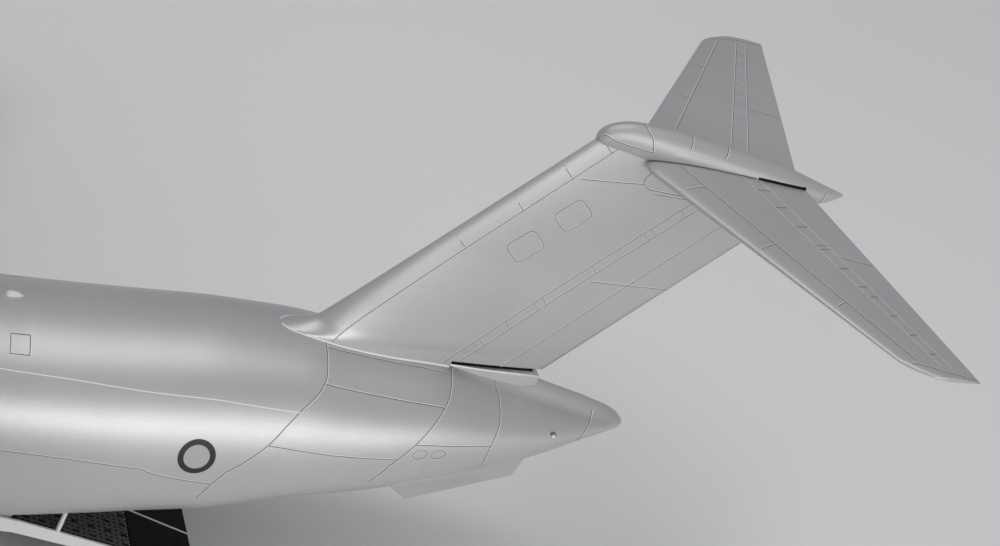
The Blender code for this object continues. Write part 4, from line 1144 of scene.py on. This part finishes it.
def root_angle(x, above):
    """Where on the fairing, in degrees, the tailplane's upper skin meets it."""
    low, high = bullet_point(x, -90)[2], bullet_point(x, 90)[2]
    height = tail_point(x, 0.5, 1)[2] + above
    return 180 - degrees(asin(min(1.0, (height - (low + high) / 2) / ((high - low) / 2))))


def make_bullet_details():
    lines = Grooves("bullet_lines", lambda spot: Vector((0, spot.y, spot.z - BULLET_AXIS_Z * SCALE)))
    # Black strips at the tailplane's root: painted shade in the slot there
    slots = Grooves("tail_root_slot_shade", lines.outward, BLACK)
    root = [45.3 + 0.25 * i for i in range(16)]
    slot = [ROOT_SLOT[0] + (ROOT_SLOT[1] - ROOT_SLOT[0]) * i / 10 for i in range(11)]
    swelling = bmesh.new()
    for side, _ in SIDES:
        skin = lambda x, a, side=side: bullet_point(x, 90 - side * (a - 90))
        for line in BULLET_LINES:
            lines.line(line, skin, step=1.0)
        lines.line([(x, root_angle(x, 0.02)) for x in root], skin, 1.6, lit=False)
        slots.line([(x, root_angle(x, 0.03)) for x in slot], skin, 4.2, lit=False)
        loft(swelling, [[
            bullet_point(x, 90 - side * (middle + half * cos(a) - 90), height * sin(a) - 0.02) for a in turns(32)[:17]
        ] for x, middle, half, height in smooth_table(SWELLING, 5)])
    lines.done()
    slots.done()
    detail("root_swellings", swelling, SATIN_SHADED)


def make_tail():
    rings = [[bullet_point(row[0], 360 * (i + 0.5) / 48) for i in range(48)] for row in BULLET_ROWS]
    skin_piece("tail_bullet_skin", rings, "tailplane_fairing", shade=SATIN_SHADED)
    for side, name in SIDES:
        rings = []
        for y in TAIL_STATIONS:
            lead, trail, height = tail_line(y)
            rings.append(foil_ring(lead, trail - lead, side * y, height, 0, TAIL_THICK * (trail - lead), 61))
        skin_piece(f"tailplane_skin_{name}", rings, f"tailplane_{name}")
    for up, name in ((1, "top"), (-1, "under")):
        lines = Grooves(f"tailplane_{name}_lines", facing(0, 0, up))
        # Painted highlight: the port hinge lines and the starboard ribs are drawn wholly light, as the light falls on
        # them; the others are drawn dark
        highlights = Grooves(f"tailplane_{name}_raised", lines.outward, LINE_HIGHLIGHT)
        skin = partial(tail_point, up=up)
        for side, _ in SIDES:
            for line in TAIL_LINES:
                lines.line([(x, side * y) for x, y in line], skin)
            for line in HINGE_LINES:
                (highlights if side < 0 else lines).line([(x, side * y) for x, y in line], skin, 0.9, lit=side > 0)
            for y in TAIL_RIBS:
                ends = [(on_line(line, v), side * v) for line, v in zip(HINGE_LINES, (y, y - 0.16))]
                (highlights if side > 0 else lines).line(ends, skin, 0.8, lit=False)
        lines.done()
        highlights.done()
    make_bullet_details()


# Landing gear

# Sponson: x, lowest and highest point, reach to the side from the hull
SPONSON = smooth_table((
    (17.0, 2.2, 3.0, 3.35), (18.2, 1.5, 3.7, 4.25), (20.0, 1.02, 4.0, 4.85), (22.5, 1.02, 4.1, 4.95),
    (27.2, 1.02, 4.05, 4.75), (27.75, 1.6, 3.6, 3.95), (28.1, 2.2, 3.1, 3.35),
), 6)
SPONSON_ROOT_Y = 2.2
# Half length of a wheel well along the fuselage, and its ceiling
WELL_HALF, WELL_TOP = 0.775, 1.62
# A tyre's outline, as shares of its half width and of its radius
TYRE_SHAPE = ((-0.8, 0.55), (-1.0, 0.62), (-1.0, 0.84), (-0.72, 0.975), (0.0, 1.0), (0.72, 0.975), (1.0, 0.84),
              (1.0, 0.62), (0.8, 0.55))
# A hub's dish between its rim and its axle, in the same shares
HUB_DISH = ((0.85, 0.56), (0.6, 0.3))
# Wheels: radius, width, places on the axle, and the axle's radius
NOSE_WHEELS = (0.508, 0.36, (-0.36, 0.36), 0.07)
MAIN_WHEELS = (0.635, 0.50, (-0.8, 0.0, 0.8), 0.085)
MAIN_Y = 4.08


def sponson_ring(x, low, high, outer, side):
    angles = [-pi / 2 + pi * i / 40 for i in range(41)]
    return [(x, side * (SPONSON_ROOT_Y + (outer - SPONSON_ROOT_Y) * max(0.0, cos(a)) ** 0.55),
             (low + high) / 2 + (high - low) / 2 * copysign(abs(sin(a)) ** 0.8, sin(a))) for a in angles]


def make_sponsons():
    belly = belly_cutter()
    for side, name in SIDES:
        pod = lofted(f"sponson_skin_{name}", [sponson_ring(*row, side) for row in SPONSON], HULL)
        near, far = sorted((side * 2.0, side * 6.0))
        wells = [lofted("well", block_rings((x - WELL_HALF, near, 0), (x + WELL_HALF, far, WELL_TOP)), INTERIOR)
                 for x in MAIN_X]
        carve(pod, *(("DIFFERENCE", cutter) for cutter in (belly, *wells)))
        clad(pod, f"gear_sponson_{name}")
        discard(*wells)
    discard(belly)


def make_wheel_set(name, node, body, x, y, radius, width, offsets, axle):
    """Tyres with treads and dished hubs on one axle."""
    tyre, hub = bmesh.new(), bmesh.new()
    centre, half = (x, y, radius), width / 2
    for offset in offsets:
        rows = [(offset + a, r * radius) for a, r in smooth_table([(half * a, r) for a, r in TYRE_SHAPE], 4)]
        rows = [(a, r - (0.02 * radius if abs(abs(a - offset) - half * 0.36) < 0.02 else 0)) for a, r in rows]
        spin(tyre, centre, "Y", rows, 48)
        dish = [(share, r * radius) for share, r in HUB_DISH]
        dish = [(-0.55, axle), *((-a, r) for a, r in dish[::-1]), *dish, (0.55, axle)]
        spin(hub, centre, "Y", [(offset + half * a, r) for a, r in dish], 32)
    reach = max(offsets) + half * 0.85
    spin(hub, centre, "Y", [(-reach, 0.0), (-reach, axle), (reach, axle), (reach, 0.0)], 20)
    ride(from_shape(name + "_tyres", tyre, TYRE), node, body=body, slot="tyre")
    detail(name + "_hubs", hub, WHITE, body=body)


def make_gear():
    make_wheel_set("nose_wheels", "nose_wheels", "nose_wheel_pair", NOSE_X, 0, *NOSE_WHEELS)
    for side, name in SIDES:
        for x, end in zip(MAIN_X, ("front", "rear")):
            label = f"{name}_{end}"
            make_wheel_set(f"main_{label}", f"main_wheels_{label}", f"wheel_row_{label}", x, side * MAIN_Y,
                           *MAIN_WHEELS)


# Floor, light and camera

FLOOR_HALF, FLOOR_Z = 4, -0.0004
AMBIENT = 0.38
# Lamps, all aimed at one point: place, width, depth, power, spread in degrees
LAMPS = {
    "above": ((0.0, -0.069, 1.12), 0.84, 0.45, 2.5, 180),
    "low": ((0.58, -1.19, 0.325), 1.0, 0.35, 1.1, 180),
    "side": ((0.5, -1.9, 0.36), 1.6, 0.6, 1.35, 60),
}
LAMPS_AIM = Vector((0.08, 0, 0.05))


def make_stage():
    floor = bpy.data.meshes.new("floor")
    corners = [(x * FLOOR_HALF, y * FLOOR_HALF, FLOOR_Z) for x, y in ((-1, -1), (1, -1), (1, 1), (-1, 1))]
    floor.from_pydata(corners, [], [(0, 1, 2, 3)])
    obj = bpy.data.objects.new("floor", floor)
    bpy.context.scene.collection.objects.link(obj)
    floor.materials.append(shader_of("floor_paper", Base_Color=(0.97, 0.97, 0.97, 1), Roughness=0.9)[0])
    world = bpy.data.worlds.new("studio")
    world.use_nodes = True
    set_inputs(world.node_tree.nodes["Background"], {"Color": (0.9, 0.92, 0.95, 1), "Strength": AMBIENT})
    bpy.context.scene.world = world
    bpy.context.scene.view_settings.view_transform = "Standard"
    for name, (spot, width, depth, power, spread) in LAMPS.items():
        light = bpy.data.lights.new(name, "AREA")
        light.energy, light.shape, light.size, light.size_y = power, "RECTANGLE", width, depth
        light.spread = radians(spread)
        lamp = bpy.data.objects.new(name, light)
        lamp.location = spot
        lamp.rotation_euler = (LAMPS_AIM - Vector(spot)).to_track_quat("-Z", "Y").to_euler()
        bpy.context.scene.collection.objects.link(lamp)


def make_camera():
    ahead = Vector((-sin(CAMERA_TURN) * cos(CAMERA_TILT), cos(CAMERA_TURN) * cos(CAMERA_TILT), -sin(CAMERA_TILT)))
    right = ahead.cross(Vector((0, 0, 1))).normalized()
    above = right.cross(ahead)
    across = right * cos(CAMERA_ROLL) + above * sin(CAMERA_ROLL)
    upward = above * cos(CAMERA_ROLL) - right * sin(CAMERA_ROLL)
    lens = bpy.data.cameras.new("camera")
    lens.lens, lens.sensor_width, lens.clip_start = CAMERA_LENS, 36, 0.01
    camera = bpy.data.objects.new("camera", lens)
    camera.matrix_world = Matrix.Translation(place(*CAMERA_PLACE)) @ Matrix(
        (across, upward, -ahead)).transposed().to_4x4()
    bpy.context.scene.collection.objects.link(camera)
    bpy.context.scene.camera = camera


def finish_nodes():
    """Paint for the solids that stay in sight."""
    paints = {"cockpit_tub": SEAT, "cargo_floor": DECK, "ramp_deck": DECK, "ramp_toes": BLACK}
    for name, node in NODES.items():
        white = name.startswith(("main_leg", "nose_leg", "hold_bulkhead", "ramp_strut"))
        for slot in node.material_slots:
            slot.material = WHITE if white else paints.get(name, HULL)


make_fuselage()
make_tread()
make_toes()
make_ramp_edges()
make_wings()
make_wing_fairing()
make_engines()
make_fin()
make_rudder_slot()
make_tail()
make_sponsons()
make_gear()
finish_nodes()
make_stage()
make_camera()
